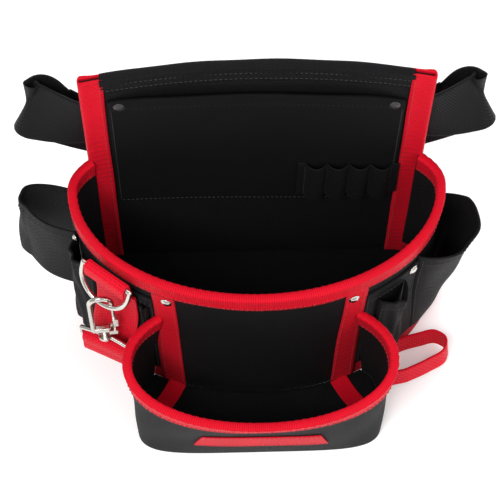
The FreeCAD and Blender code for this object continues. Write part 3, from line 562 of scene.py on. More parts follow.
def connect(tree, shader, colour, roughness, height, strength, distance):
    """Leads a colour, a roughness and a height, as bump, into the shader."""
    bump = add(tree, "ShaderNodeBump", Height=height, Strength=strength, Distance=distance)
    for output, name in ((colour, "Base Color"), (roughness, "Roughness"),
                         (bump.outputs[0], "Normal")):
        tree.links.new(output, shader.inputs[name])


def woven(name, base, thread, along, over=1.0, height=0.35, grain=0.25, rough=0.72, sheen=0.25):
    """Yarns crossing in a plain weave or standing as ribs. thread is the yarn spacing along
    U and along the spacing along V, both in metres; over 0 gives ribs across U alone."""
    material, tree, shader = new_material(
        name, Sheen_Weight=sheen, Sheen_Roughness=0.45, Specular_IOR_Level=0.08)
    uv = add(tree, "ShaderNodeUVMap", {"uv_map": "UVMap"}).outputs[0]
    split = add(tree, "ShaderNodeSeparateXYZ", Vector=uv)
    warp = ribs(tree, split.outputs[0], thread)
    weft = ribs(tree, split.outputs[1], along)
    if over:
        cells = add(tree, "ShaderNodeMapping", Vector=uv, Scale=(1 / thread, 1 / along, 1))
        checker = add(tree, "ShaderNodeTexChecker", Vector=cells.outputs[0], Scale=1.0,
                      Color1=(0, 0, 0, 1), Color2=(1, 1, 1, 1)).outputs[1]
        yarn = add(tree, "ShaderNodeMix", _0=checker, _2=warp, _3=weft).outputs[0]
    else:
        weft = add(tree, "ShaderNodeMath", {"operation": "MULTIPLY"}, _0=weft, _1=0.18).outputs[0]
        yarn = add(tree, "ShaderNodeMath", {"operation": "MULTIPLY_ADD"},
                   _0=warp, _1=0.82, _2=weft).outputs[0]
    place = add(tree, "ShaderNodeTexCoord").outputs["Object"]
    fibre = add(tree, "ShaderNodeTexNoise", Vector=place, Scale=900.0, Detail=3.0).outputs[0]
    worn = add(tree, "ShaderNodeTexNoise", Vector=place, Scale=38.0, Detail=5.0,
               Roughness=0.6).outputs[0]
    # Mix factor: painted shade, darker where the yarn or rib is low in the gaps between yarns, plus
    # broad noise that stands for dust and lint.
    share = add(tree, "ShaderNodeMath", {"operation": "MULTIPLY_ADD"},
                _0=worn, _1=0.6, _2=yarn).outputs[0]
    share = add(tree, "ShaderNodeMath", {"operation": "MULTIPLY"}, _0=share, _1=0.62).outputs[0]
    # grain sets how far the colour runs darker and lighter: painted shade in the yarn gaps, and
    # dust and lint tone at random.
    dark = tuple(part * (1 - 1.9 * grain) for part in base)
    light = tuple(min(part * (1 + grain) + 0.003, 1) for part in base)
    tint = add(tree, "ShaderNodeMix", {"data_type": "RGBA"}, _0=share, _6=(*dark, 1),
               _7=(*light, 1)).outputs[2]
    roughness = add(tree, "ShaderNodeMath", {"operation": "MULTIPLY_ADD"},
                    _0=fibre, _1=0.16, _2=rough - 0.08).outputs[0]
    hairs = add(tree, "ShaderNodeMath", {"operation": "MULTIPLY"}, _0=fibre, _1=0.3).outputs[0]
    relief = add(tree, "ShaderNodeMath", {"operation": "MULTIPLY_ADD"},
                 _0=yarn, _1=0.85, _2=hairs).outputs[0]
    connect(tree, shader, tint, roughness, relief, height, 0.5 * MM)
    return material


def polished_nickel(name, base, rough):
    """Nickel plate on die-cast or bent steel: bright, with a barrel-polished haze and faint
    pits about a millimetre apart."""
    material, tree, shader = new_material(name, Metallic=1.0)
    place = add(tree, "ShaderNodeTexCoord").outputs["Object"]
    haze = add(tree, "ShaderNodeTexNoise", Vector=place, Scale=160.0, Detail=6.0,
               Roughness=0.65).outputs[0]
    dark = tuple(part * 0.72 for part in base)
    tint = add(tree, "ShaderNodeMix", {"data_type": "RGBA"}, _0=haze, _6=(*dark, 1),
               _7=(*base, 1)).outputs[2]
    roughness = add(tree, "ShaderNodeMath", {"operation": "MULTIPLY_ADD"},
                    _0=haze, _1=0.14, _2=rough).outputs[0]
    pits = add(tree, "ShaderNodeTexNoise", Vector=place, Scale=1000.0, Detail=2.0).outputs[0]
    connect(tree, shader, tint, roughness, pits, 0.08, 0.1 * MM)
    return material


def satin_skin(name, base):
    """The satin skin of acetal from a spark-eroded mould or of lacquer on brass: a fine even
    grain of about 0.4 mm, a little shinier where it is handled."""
    material, tree, shader = new_material(name, Specular_IOR_Level=0.5)
    place = add(tree, "ShaderNodeTexCoord").outputs["Object"]
    grain = add(tree, "ShaderNodeTexVoronoi", Vector=place, Scale=2500.0).outputs[0]
    worn = add(tree, "ShaderNodeTexNoise", Vector=place, Scale=70.0, Detail=4.0).outputs[0]
    light = tuple(part * 1.6 + 0.004 for part in base)
    tint = add(tree, "ShaderNodeMix", {"data_type": "RGBA"}, _0=worn, _6=(*base, 1),
               _7=(*light, 1)).outputs[2]
    roughness = add(tree, "ShaderNodeMath", {"operation": "MULTIPLY_ADD"},
                    _0=worn, _1=0.2, _2=0.34).outputs[0]
    connect(tree, shader, tint, roughness, grain, 0.12, 0.15 * MM)
    return material


def sewing_thread(name, base):
    """Bonded polyester thread: satin, twisted, a shade lighter than the cloth it sews."""
    material, tree, shader = new_material(name, Specular_IOR_Level=0.5, Sheen_Weight=0.1,
                                          Roughness=0.5)
    place = add(tree, "ShaderNodeTexCoord").outputs["Object"]
    twist = add(tree, "ShaderNodeTexNoise", Vector=place, Scale=1500.0).outputs[0]
    dark = tuple(part * 0.7 for part in base)
    tint = add(tree, "ShaderNodeMix", {"data_type": "RGBA"}, _0=twist, _6=(*dark, 1),
               _7=(*base, 1)).outputs[2]
    tree.links.new(tint, shader.inputs["Base Color"])
    return material


def material_of(name):
    """Makes each of the pouch's materials when it is first asked for."""
    if name in bpy.data.materials:
        return bpy.data.materials[name]
    c = colours()
    makers = {
        # 600D polyester, yarns 0.5 mm apart, drawn at 1.1 mm so that they show
        "oxford_polyester_woven": lambda: woven(name, tuple(c.cloth), 1.1 * MM, 1.1 * MM,
                                                height=0.8, rough=0.55, sheen=0.01),
        # a lighter plain cloth, drawn at 0.9 mm
        "lining_polyester_woven": lambda: woven(name, tuple(c.lining), 0.9 * MM, 0.9 * MM,
                                                height=0.3, rough=0.75, sheen=0.01),
        "red_polyester_woven": lambda: woven(name, tuple(c.lower), 1.1 * MM, 1.1 * MM,
                                             height=0.4, rough=0.62, sheen=0.01),
        # grosgrain: ribs across the tape, 0.8 mm apart, drawn at 1.6 mm
        "grosgrain_tape_red": lambda: woven(name, tuple(c.tape), 1.6 * MM, 0.9 * MM, over=0.0,
                                            height=0.6, grain=0.25, rough=0.5, sheen=0.02),
        # heavy polypropylene webbing: ribs across it about 1.9 mm apart
        "webbing_red": lambda: woven(name, tuple(c.webbing), 1.9 * MM, 2.2 * MM,
                                     height=0.55, grain=0.25, rough=0.48, sheen=0.02),
        "webbing_black": lambda: woven(name, tuple(c.belt), 1.2 * MM, 1.6 * MM,
                                       height=0.5, rough=0.5, sheen=0.02),
        # knitted elastic: rubber cords run along it 2 mm apart
        "elastic_black": lambda: woven(name, tuple(c.belt), 1.3 * MM, 2.2 * MM,
                                       height=0.6, rough=0.6, sheen=0.01),
        "polished_nickel": lambda: polished_nickel(name, tuple(c.nickel), 0.16),
        # brass rivets under black lacquer
        "black_lacquered_brass": lambda: satin_skin(name, linear("#232325")),
        "moulded_acetal": lambda: satin_skin(name, tuple(c.plastic)),
        "thread_red": lambda: sewing_thread(name, linear("#B80C22")),
        "thread_black": lambda: sewing_thread(name, linear("#1A1A1C")),
    }
    return makers[name]()


OXFORD = "oxford_polyester_woven"
TAPE = "grosgrain_tape_red"


# ------------------------------------------------------------------ the pieces

class PieceOperator:
    """What every piece's operator shares."""
    bl_options = {"REGISTER", "UNDO"}

    def execute(self, context):
        self.build()
        return {"FINISHED"}


class BackPanel(PieceOperator, bpy.types.Operator):
    """Stiffened back panel with its folded, double-stitched hem along the arched top"""
    bl_idname = "pouch.back_panel"
    bl_label = "Back panel"

    def build(self):
        s = sizes()
        span = s.back_half - 0.4 * MM
        panel = wall("back_panel_cloth", back, -span, span, 0, s.back_side, -s.panel, 0,
                     count=90, rows=50)
        dress(panel, OXFORD, nodes=["back_panel"])
        span = s.back_half - s.flap + 2 * MM
        across = np.linspace(-span, span, 120)[:, None]
        heights, prouds, side, _ = fold_section(s.back_side, s.flap, s.panel, 1.0 * MM)
        wave = 0.25 * MM * np.sin(across / (9 * MM)) * side[None, :]
        band = loft("back_top_hem", back(across, heights[None, :], prouds[None, :] + wave))
        dress(band, OXFORD, nodes=["back_top_band"])
        line = np.linspace(-span, span, 300)
        low = s.back_side - s.flap + 2.5 * MM
        rows = [row_on(back, line, low, 1.05 * MM), row_on(back, line, low + 6 * MM, 1.05 * MM)]
        sew("back_hem_stitching", rows, "thread_black")


class BackBindings(PieceOperator, bpy.types.Operator):
    """Red tape folded round both sides of the back panel"""
    bl_idname = "pouch.back_bindings"
    bl_label = "Back bindings"

    def build(self):
        s = sizes()
        rise = np.linspace(0, s.back_side + 1.5 * MM, 260)[:, None]
        ripple = 0.2 * MM * np.sin(2 * np.pi * rise / (6 * MM)) * (
            0.6 + 0.4 * np.sin(rise / (19 * MM)))
        for hand, label in ((1, "right"), (-1, "left")):
            far, prouds, side, outer = fold_section(s.back_half, s.flap, s.panel, s.tape)
            drift = 0.5 * MM * np.sin(rise / (21 * MM) + hand)
            inward = np.clip((s.back_half - far) / s.flap, 0, 1)
            across = hand * (far[None, :] + drift * inward[None, :] * outer[None, :])
            tape = loft(label + "_back_tape",
                        back(across, rise, prouds[None, :] + ripple * side[None, :]))
            dress(tape, TAPE, nodes=[label + "_back_binding"])
        line = np.linspace(4 * MM, s.back_side - 3 * MM, 300)
        edge = s.back_half - s.flap + 2.2 * MM
        rows = [row_on(back, hand * edge, line, s.tape + 0.1 * MM) for hand in (-1, 1)]
        rows += [(path * [1, 0, 1] + [0, s.tape + 0.1 * MM, 0], -outward)
                 for path, outward in rows[:2]]
        sew("back_tape_stitching", rows, "thread_red")


def slip(across, height, proud=0.0):
    """A point on the slip pocket's cloth: it hangs from a wavy top edge, stands further off
    the back panel near its open top, and lies on it along its sides and foot."""
    across, height, proud = np.broadcast_arrays(across, height, proud)
    share = (height - SLIP_LOW) / (SLIP_TOP - SLIP_LOW)
    side = 1 - (np.abs(across) / SLIP_HALF) ** 4
    open_by = 5.2 * MM * side * np.clip(share, 0, 1.1) ** 1.5
    fold = 0.7 * MM * np.sin(across / (17 * MM) + 5 * share) * side * np.clip(share, 0, 1)
    top = 13 * MM * side - 5 * MM * np.clip(across / SLIP_HALF, 0, 1) ** 2
    points = back(across, height, 0.9 * MM + open_by + fold + proud)
    points[..., 2] = height + top * np.clip(share, 0, 1.2)
    return points


class InnerPockets(PieceOperator, bpy.types.Operator):
    """Slip pocket inside the back panel, its rivets, and the row of elastic loops"""
    bl_idname = "pouch.inner_pockets"
    bl_label = "Inner pockets"

    def build(self):
        half = SLIP_HALF
        cloth = wall("slip_pocket_cloth", slip, -half, half, SLIP_LOW, SLIP_TOP,
                     0, 1.3 * MM, count=120, rows=40, hem=0.5 * MM)
        dress(cloth, "lining_polyester_woven",
              nodes=["inner_slip_pocket"])
        line = np.linspace(-half + 2 * MM, half - 2 * MM, 300)
        rise = np.linspace(SLIP_LOW + 2 * MM, SLIP_TOP - 2 * MM, 200)
        rows = [row_on(slip, line, height, 1.35 * MM)
                for height in (SLIP_TOP - 10.5 * MM, SLIP_LOW + 2 * MM)]
        rows += [row_on(slip, hand * (half - 2 * MM), rise, 1.35 * MM) for hand in (-1, 1)]
        sew("slip_pocket_stitching", rows, "thread_black")
        spots = [slip(np.array(x), np.array(221 * MM), 1.9 * MM) for x in (-95 * MM, 95 * MM)]
        heads = domes("slip_pocket_rivet_heads", spots, [np.array([0.0, -1.0, 0.0])] * 2,
                      4.2 * MM, 1.8 * MM)
        dress(heads, "black_lacquered_brass",
              nodes=["slip_pocket_rivets"])
        low, high, pitch, first = 100 * MM, 142 * MM, 16 * MM, 36 * MM
        across = np.linspace(first - 5.5 * MM, first + 4 * pitch + 5.5 * MM, 200)
        inside = (across > first) & (across < first + 4 * pitch)
        loop = np.abs(np.sin(np.pi * (across - first) / pitch)) ** 0.75 * inside
        rise, lift = slab(low, high, 0, 1.2 * MM, rows=12)
        base = slip(across[:, None], rise[None, :], 1.5 * MM)
        base[..., 1] -= (5.8 * MM * loop)[:, None] + lift[None, :]
        elastic = loft("elastic_tool_loops", base)
        dress(elastic, "elastic_black",
              nodes=["inner_elastic_loops"])
        rise = np.linspace(low + 1 * MM, high - 1 * MM, 40)
        rows = [row_on(slip, first + pitch * index, rise, 2.9 * MM) for index in range(5)]
        sew("elastic_stitching", rows, "thread_black")


class BowlPanels(PieceOperator, bpy.types.Operator):
    """Front and side walls of the main pocket, the red strips below, and the floor"""
    bl_idname = "pouch.bowl_panels"
    bl_label = "Bowl panels"

    def build(self):
        s = sizes()
        spans = [("front_panel", 2, 4, s.floor), ("right_side_panel", 0, 2, s.band_low),
                 ("left_side_panel", 4, 6, s.band_low)]
        for node, start, end, low in spans:
            cloth = wall(node + "_cloth", bowl, start, end, low, s.rim, -s.cloth, 0,
                         count=90, rows=36)
            dress(cloth, OXFORD, nodes=[node])
        for side, start, end in (("right", 0, 2), ("left", 4, 6)):
            strip = wall(side + "_lower_strip", bowl, start, end, s.floor * 0.4,
                         s.band_low + 1 * MM, -s.cloth, 0.2 * MM, count=90, rows=10)
            dress(strip, "red_polyester_woven",
                  nodes=[side + "_lower_panel"])
        station = np.linspace(0, 6, 121)
        rows = [(0.0, -3 * MM), (0.2 * MM, -1 * MM), (1.4 * MM, -0.1 * MM), (s.floor, -0.3 * MM)]
        rows += [(s.floor, -3 * MM)]
        edge = s.back_half - 1 * MM
        corner = np.array([[-edge, -s.panel, 0], [edge, -s.panel, 0]])
        loops = [np.concatenate([bowl(station, height, proud), corner + [0, 0, height]])
                 for height, proud in rows]
        floor = loft("bottom_cloth", loops)
        dress(floor, OXFORD, nodes=["bottom_panel"])


class RimBindings(PieceOperator, bpy.types.Operator):
    """Red tape round the bowl's rim and down its two front seams"""
    bl_idname = "pouch.rim_bindings"
    bl_label = "Rim and seam bindings"

    def build(self):
        s = sizes()
        rim = binding("rim_tape", bowl, 0.03, 5.97, s.rim, 900, seed=3)
        dress(rim, TAPE, nodes=["main_rim_binding"])
        station = np.linspace(0.05, 5.95, 900)
        low = s.rim - s.flap + 2.0 * MM
        rows = [row_on(bowl, station, low, s.tape + 0.1 * MM),
                row_on(bowl, station, low, -s.cloth - s.tape - 0.1 * MM, -1)]
        for side, start, end in (("right", 1.905, 2.075), ("left", 3.925, 4.095)):
            rise = np.linspace(s.floor, s.rim - s.flap + 4 * MM, 150)[:, None]
            wide = np.linspace(start, end, 9)
            loop = np.concatenate([wide, wide[::-1]])
            proud = np.concatenate([np.full(9, s.tape), np.full(9, 0.1 * MM)])
            ripple = 0.15 * MM * np.sin(rise / (0.9 * MM)) * (proud > 1 * MM)
            tape = loft(side + "_seam_tape", bowl(loop[None, :], rise, proud[None, :] + ripple))
            dress(tape, TAPE, nodes=[side + "_front_seam_binding"])
            line = np.linspace(s.floor + 2 * MM, s.rim - s.flap, 200)
            rows += [row_on(bowl, edge, line, s.tape + 0.1 * MM)
                     for edge in (start + 0.025, end - 0.025)]
        sew("rim_stitching", rows, "thread_red")


class ToolPockets(PieceOperator, bpy.types.Operator):
    """Open sleeve, pockets and flat bands round both sides, with their hems and rivets"""
    bl_idname = "pouch.tool_pockets"
    bl_label = "Tool pockets"

    def build(self):
        s = sizes()
        low, high, cloth = s.band_low, s.band_high, s.cloth
        sleeve = bulge(4.76, 5.42, 40 * MM, 1.25, 44 * MM, dip=3 * MM)
        small = bulge(4.53, 4.76, 11 * MM, 1.0, 7 * MM, dip=2 * MM)
        large = bulge(0.9, 1.52, 30 * MM, 0.9, 3 * MM, dip=4 * MM)
        right_pen = bulge(1.63, 1.83, 12 * MM, 1.0, 3 * MM, dip=1 * MM)
        left_pen = bulge(4.125, 4.175, 3 * MM, 1.0, 1 * MM)
        spans = [
            ("left_tool_sleeve", sleeve, 4.76, 5.42, low + 30 * MM, high, 0.3 * MM, 120),
            ("left_small_pocket", small, 4.53, 4.76, low, high - 6 * MM, 0.3 * MM, 50),
            ("left_flat_band", bowl, 4.095, 4.53, low, high - 6 * MM, 0.15 * MM, 50),
            ("left_band_tail", bowl, 5.42, 5.97, low, high, 0.15 * MM, 30),
            ("right_tool_pocket", large, 0.9, 1.52, low, high, 0.3 * MM, 120),
            ("right_flat_band", bowl, 1.52, 1.905, low, high - 6 * MM, 0.15 * MM, 50),
            ("right_band_tail", bowl, 0.03, 0.9, low, high, 0.15 * MM, 40),
            ("right_pen_pocket", right_pen, 1.63, 1.83, low + 6 * MM, high - 18 * MM,
             cloth + 0.3 * MM, 50),
            ("left_pen_pocket", left_pen, 4.125, 4.175, low + 6 * MM, high - 18 * MM,
             cloth + 0.3 * MM, 24)]
        rows = []
        for node, outline, start, end, foot, top, inner, count in spans:
            outer = inner + cloth - 0.4 * MM
            piece = wall(node + "_cloth", outline, start, end, foot, top, inner, outer,
                         count=count, rows=30, hem=0.35 * MM)
            dress(piece, OXFORD, nodes=[node])
            line = np.linspace(start + 0.01, end - 0.01, 200)
            face = outer + 0.4 * MM
            rows += [row_on(outline, line, top - 10.5 * MM, face)]
            rise = np.linspace(foot + 3 * MM, top - 3 * MM, 100)
            rows += [row_on(outline, edge, rise, face - 0.3 * MM)
                     for edge in (start + 0.012, end - 0.012)]
        sew("pocket_stitching", rows, "thread_black")
        spots = [(1.57, 119 * MM, cloth), (4.76, 122 * MM, cloth),
                 (1.99, 128 * MM, s.tape), (4.01, 128 * MM, s.tape)]
        places = [row_on(bowl, station, height, proud + 0.4 * MM)
                  for station, height, proud in spots]
        heads = domes("side_rivet_heads", *zip(*places), 4.2 * MM, 2.0 * MM)
        dress(heads, "polished_nickel", nodes=["side_rivets"])


class FrontPocket(PieceOperator, bpy.types.Operator):
    """Low pocket on the front: wall, floor, bound rim, inner seam tapes and name strip"""
    bl_idname = "pouch.front_pocket"
    bl_label = "Front pocket"

    def build(self):
        s = sizes()
        start, end = 0.06, 3.94
        cloth = wall("front_pocket_cloth", front, start, end, 0.3 * MM, s.pocket_rim, -s.cloth, 0,
                     count=180, rows=36)
        dress(cloth, OXFORD, nodes=["front_pocket_wall"])
        tape = binding("front_pocket_tape", front, start, end, s.pocket_rim, 620, seed=8)
        dress(tape, TAPE, nodes=["front_pocket_binding"])
        station = np.linspace(start, end, 90)
        outer = front(station, 1.5 * MM, -0.4 * MM)
        inner = bowl(1.86 + 2.28 * (station - start) / (end - start), 1.5 * MM, 0.5 * MM)
        share = np.linspace(0, 1, 12)[None, :, None]
        sheet = outer[:, None] + (inner - outer)[:, None] * share
        lift = np.array([0, 0, 1.3 * MM])
        floor = loft("front_pocket_bottom",
                     np.concatenate([sheet + lift, sheet[:, ::-1] - lift], 1))
        dress(floor, OXFORD, nodes=["front_pocket_floor"])
        for side, hand in (("right", 1), ("left", -1)):
            seam = bowl(3 - hand * 1.01, 4.0 * MM, 1.0 * MM)
            route = [seam + np.array([hand * x, y, 0]) * MM
                     for x, y in ((0, 0), (6, -11), (13, -21), (20, -30))]
            tape = webbing(side + "_pocket_floor_tape", route, [[0.82, hand * 0.57, 0.0]] * 4,
                           14 * MM, s.tape, count=60)
            dress(tape, TAPE, nodes=[side + "_pocket_floor_binding"])
        top, foot = s.label_top, s.label_top - s.label_height
        label = wall("plain_name_strip", front, 1.73, 2.27, foot, top,
                     -s.cloth - 1.1 * MM, -s.cloth - 0.2 * MM, count=90, rows=14)
        dress(label, TAPE, nodes=["label_strip"])
        line = np.linspace(start + 0.03, end - 0.03, 700)
        low = s.pocket_rim - s.flap + 2.0 * MM
        rows = [row_on(front, line, low, s.tape + 0.1 * MM),
                row_on(front, line, low, -s.cloth - s.tape - 0.1 * MM, -1)]
        edge = np.linspace(1.74, 2.26, 200)
        rows += [row_on(front, edge, height, -s.cloth - 1.15 * MM, -1)
                 for height in (top - 2 * MM, foot + 2 * MM)]
        sew("front_pocket_stitching", rows, "thread_red")
        rows = [row_on(front, line, 5 * MM, 0.1 * MM)]
        sew("front_pocket_foot_stitching", rows, "thread_black")


class HammerLoop(PieceOperator, bpy.types.Operator):
    """Red webbing that rounds out from the right side panel to the front pocket's side"""
    bl_idname = "pouch.hammer_loop"
    bl_label = "Hammer loop"

    def build(self):
        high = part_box("hammer_loop")[1]
        middle = 10.8 * MM
        start = [bowl(station, middle, 3.6 * MM) for station in (1.76, 1.62)]
        round_end = [np.array([high.x + x * MM, high.y + y * MM, middle + z * MM])
                     for x, y, z in ((-23, -9, 0.5), (-10, -7, 1), (-2.5, -13, 2), (-4, -23, 3.5),
                                     (-18, -33, 5), (-34, -41, 6.5))]
        end = [front(station, middle + 8 * MM, -3.4 * MM) for station in (0.60, 0.66)]
        route = start + round_end + end
        across = [np.array([-0.12, 0.16, 1.0])] * len(route)
        strap = webbing("hammer_webbing", route, across, 18 * MM, sizes().webbing_thick, count=140)
        dress(strap, "webbing_red", nodes=["hammer_loop"])


def joint(name):
    return next(item for item in frame["joints"] if item["name"] == name)


def hook_layout():
    """The ring's bar, the swivel's centre and the strap's loop, from the pouch's joints."""
    ring = np.array(joint("ring_swing")["pos_m"])
    along = unit(np.array(joint("ring_swing")["axis"]))
    outward = np.array([along[1], -along[0], 0.0])
    across = unit(np.array(joint("strap_swing")["axis"]))
    facing = np.array([across[1], -across[0], 0.0])
    bar = np.array(joint("hook_swivel")["pos_m"]) - [0, 0, 14 * MM]
    return ring, along, outward, across, facing, bar


class TapeStrap(PieceOperator, bpy.types.Operator):
    """Red webbing round the ring's bar, and the tape strap sewn round the hook's bar"""
    bl_idname = "pouch.tape_strap"
    bl_label = "Ring webbing and tape strap"

    def build(self):
        s = sizes()
        ring, along, outward, across, facing, bar = hook_layout()
        thick, up = s.webbing_thick, np.array([0.0, 0.0, 1.0])
        room = 1.7 * MM + 0.35 * MM + thick / 2
        turns = np.radians(-90 + 22.5 * np.arange(9))
        arc = [ring - outward * room * math.sin(turn) + up * room * math.cos(turn)
               for turn in turns]
        route = [ring + outward * room - up * 9 * MM] + arc + [ring - outward * room - up * 22 * MM]
        fold = webbing("ring_webbing_fold", route, [along] * len(route), s.webbing - 2 * MM, thick)
        dress(fold, "webbing_red", nodes=["ring_webbing"])
        room = 1.8 * MM + 0.2 * MM + thick / 2
        bend = 6.2 * MM
        foot = bar - up * (24 * MM - bend)
        back_low = foot - facing * (2 * bend - room)
        top = bowl(4.33, 120 * MM, 3.6 * MM)
        upper = bowl(4.33, 93 * MM, 3.6 * MM)
        half_way = (upper + back_low) / 2 + facing * 0.6 * MM
        turns = np.radians([30, 60, 90, 120, 150])
        under = [back_low + facing * bend * (1 - math.cos(turn)) - up * bend * math.sin(turn)
                 for turn in turns]
        rise = back_low + facing * 2 * bend
        wrap = [bar + facing * room * math.cos(turn) + up * room * math.sin(turn)
                for turn in np.radians([0, 45, 90, 135, 180])]
        route = [top, upper, half_way, back_low] + under + [rise, rise + up * 8 * MM]
        route += wrap + [bar - facing * room - up * 9 * MM]
        sides = [along, along * 0.8 + across * 0.2, along * 0.4 + across * 0.6]
        sides += [across] * (len(route) - 3)
        strap = webbing("tape_strap_webbing", route, sides, s.webbing - 0.5 * MM, thick,
                        count=220)
        dress(strap, "webbing_red", body=None,
              nodes=["tape_strap", "strap_end"])
        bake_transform(strap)


class WaistBelt(PieceOperator, bpy.types.Operator):
    """Waist belt webbing, the tunnel it runs through and its rows of stitching"""
    bl_idname = "pouch.waist_belt"
    bl_label = "Waist belt"

    def build(self):
        s = sizes()
        low, high = (np.array(corner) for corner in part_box("belt_front"))
        reach, half, centre = s.belt_reach, s.back_half, (low[2] + high[2]) / 2
        slant_out, lean_back = 0.40, math.radians(20)
        swing = np.linspace(1, 0, 6)[:, None]
        route = np.concatenate([-half - (reach - half) * swing, 2.8 * MM + 12 * MM * swing ** 1.5,
                                np.full((6, 1), centre)], 1)
        lean = lean_back * swing
        sides = np.concatenate([slant_out * swing, np.sin(lean), np.cos(lean)], 1)
        bend, turns = 3.2 * MM, np.radians(-50 + 40 * np.arange(4))[:, None]
        fold = np.concatenate([-reach - bend * np.cos(turns),
                               15.4 * MM + bend + bend * np.sin(turns),
                               np.full((4, 1), centre)], 1)
        fold_sides = np.tile([slant_out, math.sin(lean_back), math.cos(lean_back)], (4, 1))
        share = np.array([0.12, 0.25, 0.4, 0.6, 0.8, 1.0])[:, None]
        slope, tilt = np.radians(38 * (1 - share) ** 0.8), lean_back * (1 - share) ** 2
        rear = np.concatenate([-reach - (46.4 * MM - reach) * share,
                               21.5 * MM - 4 * MM * np.sin(math.pi * share),
                               centre - 52 * MM * (1 - (1 - share) ** 2)], 1)
        slant = np.sin(slope) * 0.6 * np.clip(4 * share, 0, 1) - slant_out * (1 - share) ** 3
        rear_sides = np.concatenate([-slant, np.sin(tilt), np.cos(slope)], 1)
        left = np.concatenate([rear[::-1], fold[::-1], route])
        left_sides = unit(np.concatenate([rear_sides[::-1], fold_sides, sides]))
        mirror = [-1, 1, 1]
        run = webbing("waist_belt", np.concatenate([left, left[::-1] * mirror]),
                      np.concatenate([left_sides, left_sides[::-1] * mirror]),
                      s.belt - 1 * MM, s.belt_thick, count=900, columns=21)
        dress(run, "webbing_black",
              nodes=["belt_front", "left_belt_rear", "right_belt_rear"])
        self.tunnel()

    def tunnel(self):
        """A band of cloth on the rear that lies on the panel above and below the belt and
        rises over it, a flat-topped hump in height."""
        low, high = (np.array(corner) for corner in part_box("belt_tunnel"))
        rows = 40
        rise = np.linspace(low[2] + 0.6 * MM, high[2] - 0.6 * MM, rows)
        edge = np.minimum(rise - low[2], high[2] - rise)
        hump = 4.2 * MM * np.clip((edge - 5 * MM) / (6 * MM), 0, 1) ** 0.6 + 0.3 * MM
        heights = np.concatenate([rise, rise[::-1]])
        depth = np.concatenate([hump + 1.5 * MM, hump[::-1]])
        across = np.linspace(low[0], high[0], 90)[:, None]
        wave = 0.5 * MM * np.sin(across / (13 * MM)) * np.sin(
            np.pi * (heights - low[2]) / (high[2] - low[2]))[None, :]
        cloth = loft("belt_tunnel_cloth", pack(across, depth[None, :] + wave, heights[None, :]))
        dress(cloth, OXFORD, nodes=["belt_tunnel"])
        line = np.linspace(low[0] + 2 * MM, high[0] - 2 * MM, 300)
        out = np.tile([0.0, 1.0, 0.0], (300, 1))
        rows = [(pack(line, np.full(300, 1.9 * MM), np.full(300, height)), out)
                for height in (low[2] + 2 * MM, low[2] + 4.5 * MM, high[2] - 4.5 * MM,
                               high[2] - 2 * MM)]
        sew("belt_tunnel_stitching", rows, "thread_black")


class Hardware(PieceOperator, bpy.types.Operator):
    """Finishes the ring, the snap hook and the belt's buckle"""
    bl_idname = "pouch.hardware"
    bl_label = "Metal and plastic"

    def build(self):
        finishes = {"polished_nickel": ["d_ring", "hook_body", "hook_gate", "hook_gate_pin",
                                        "hook_base"],
                    "moulded_acetal": ["buckle_socket", "buckle_frame", "lower_latch",
                                       "upper_latch"]}
        for name, nodes in finishes.items():
            for node in nodes:
                piece = frame["nodes"][node]
                piece.data.materials.clear()
                piece.data.materials.append(material_of(name))


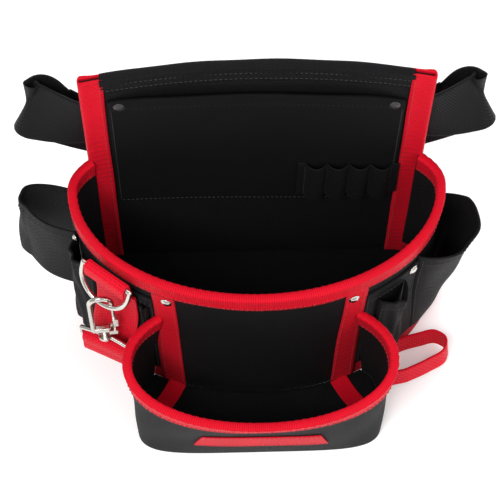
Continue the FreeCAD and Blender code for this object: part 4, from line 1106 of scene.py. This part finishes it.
class Studio(PieceOperator, bpy.types.Operator):
    """Pale floor, soft lights and the camera"""
    bl_idname = "pouch.studio"
    bl_label = "Studio"

    def build(self):
        scene = bpy.context.scene
        bpy.ops.mesh.primitive_plane_add(size=12, location=(0, 0, 0))
        ground = bpy.context.object
        ground.name = "studio_floor"
        material, _, shader = new_material("matt_white_paper", Roughness=0.9)
        white = (1, 1, 1, 1)
        shader.inputs["Base Color"].default_value = (0.95, 0.95, 0.95, 1)
        shader.inputs["Emission Color"].default_value = white
        shader.inputs["Emission Strength"].default_value = 0.22
        ground.data.materials.append(material)
        world = bpy.data.worlds.new("soft_surround")
        world.use_nodes = True
        surround = world.node_tree.nodes["Background"]
        surround.inputs["Color"].default_value = white
        surround.inputs["Strength"].default_value = 0.5
        scene.world = world
        scene.view_settings.view_transform = "Standard"
        for name, place, size, power in (("key", (-0.5, -0.9, 1.4), 0.6, 17),
                                         ("fill", (0.9, -0.6, 0.9), 1.0, 5),
                                         ("rear", (0.1, 0.9, 1.2), 0.9, 9)):
            lamp = bpy.data.lights.new(name, "AREA")
            lamp.size, lamp.energy = size, power
            light = bpy.data.objects.new(name, lamp)
            light.location = place
            aim = Vector((0, -0.06, 0.1)) - Vector(place)
            light.rotation_euler = aim.to_track_quat("-Z", "Y").to_euler()
            scene.collection.objects.link(light)
        tilt, turn, roll = (math.radians(angle) for angle in (62, -2.5, 1.0))
        distance = 1.195
        target = Matrix.Rotation(turn, 3, "Z") @ Vector((-3, -70, 130)) * MM
        ahead = Matrix.Rotation(turn, 3, "Z") @ Vector((0, math.cos(tilt), -math.sin(tilt)))
        lens = bpy.data.cameras.new("camera")
        lens.sensor_width, lens.lens = 36, 119.5
        camera = bpy.data.objects.new("camera", lens)
        camera.location = target - ahead * distance
        camera.rotation_mode = "QUATERNION"
        facing = ahead.to_track_quat("-Z", "Y")
        camera.rotation_quaternion = facing @ Matrix.Rotation(roll, 3, "Z").to_quaternion()
        scene.collection.objects.link(camera)
        scene.camera = camera


PIECES = (BackPanel, BackBindings, InnerPockets, BowlPanels, RimBindings, ToolPockets,
          FrontPocket, HammerLoop, TapeStrap, WaistBelt, Hardware, Studio)


class PouchPanel(bpy.types.Panel):
    """Lists the pouch's pieces, sizes and colours"""
    bl_idname = "VIEW3D_PT_pouch"
    bl_label = "Tool pouch"
    bl_space_type = "VIEW_3D"
    bl_region_type = "UI"
    bl_category = "Tool pouch"

    def draw(self, context):
        for piece in PIECES:
            self.layout.operator(piece.bl_idname)
        for group in (context.scene.pouch_sizes, context.scene.pouch_colours):
            box = self.layout.box()
            for key in type(group).__annotations__:
                box.prop(group, key)


CLASSES = (PouchSizes, PouchColours) + PIECES + (PouchPanel,)


def register():
    for item in CLASSES:
        bpy.utils.register_class(item)
    bpy.types.Scene.pouch_sizes = PointerProperty(type=PouchSizes)
    bpy.types.Scene.pouch_colours = PointerProperty(type=PouchColours)


def unregister():
    del bpy.types.Scene.pouch_colours
    del bpy.types.Scene.pouch_sizes
    for item in reversed(CLASSES):
        bpy.utils.unregister_class(item)


def main():
    """Registers the add-on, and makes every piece."""
    register()
    for piece in PIECES:
        group, name = piece.bl_idname.split(".")
        getattr(getattr(bpy.ops, group), name)()


if __name__ == "__main__":
    main()
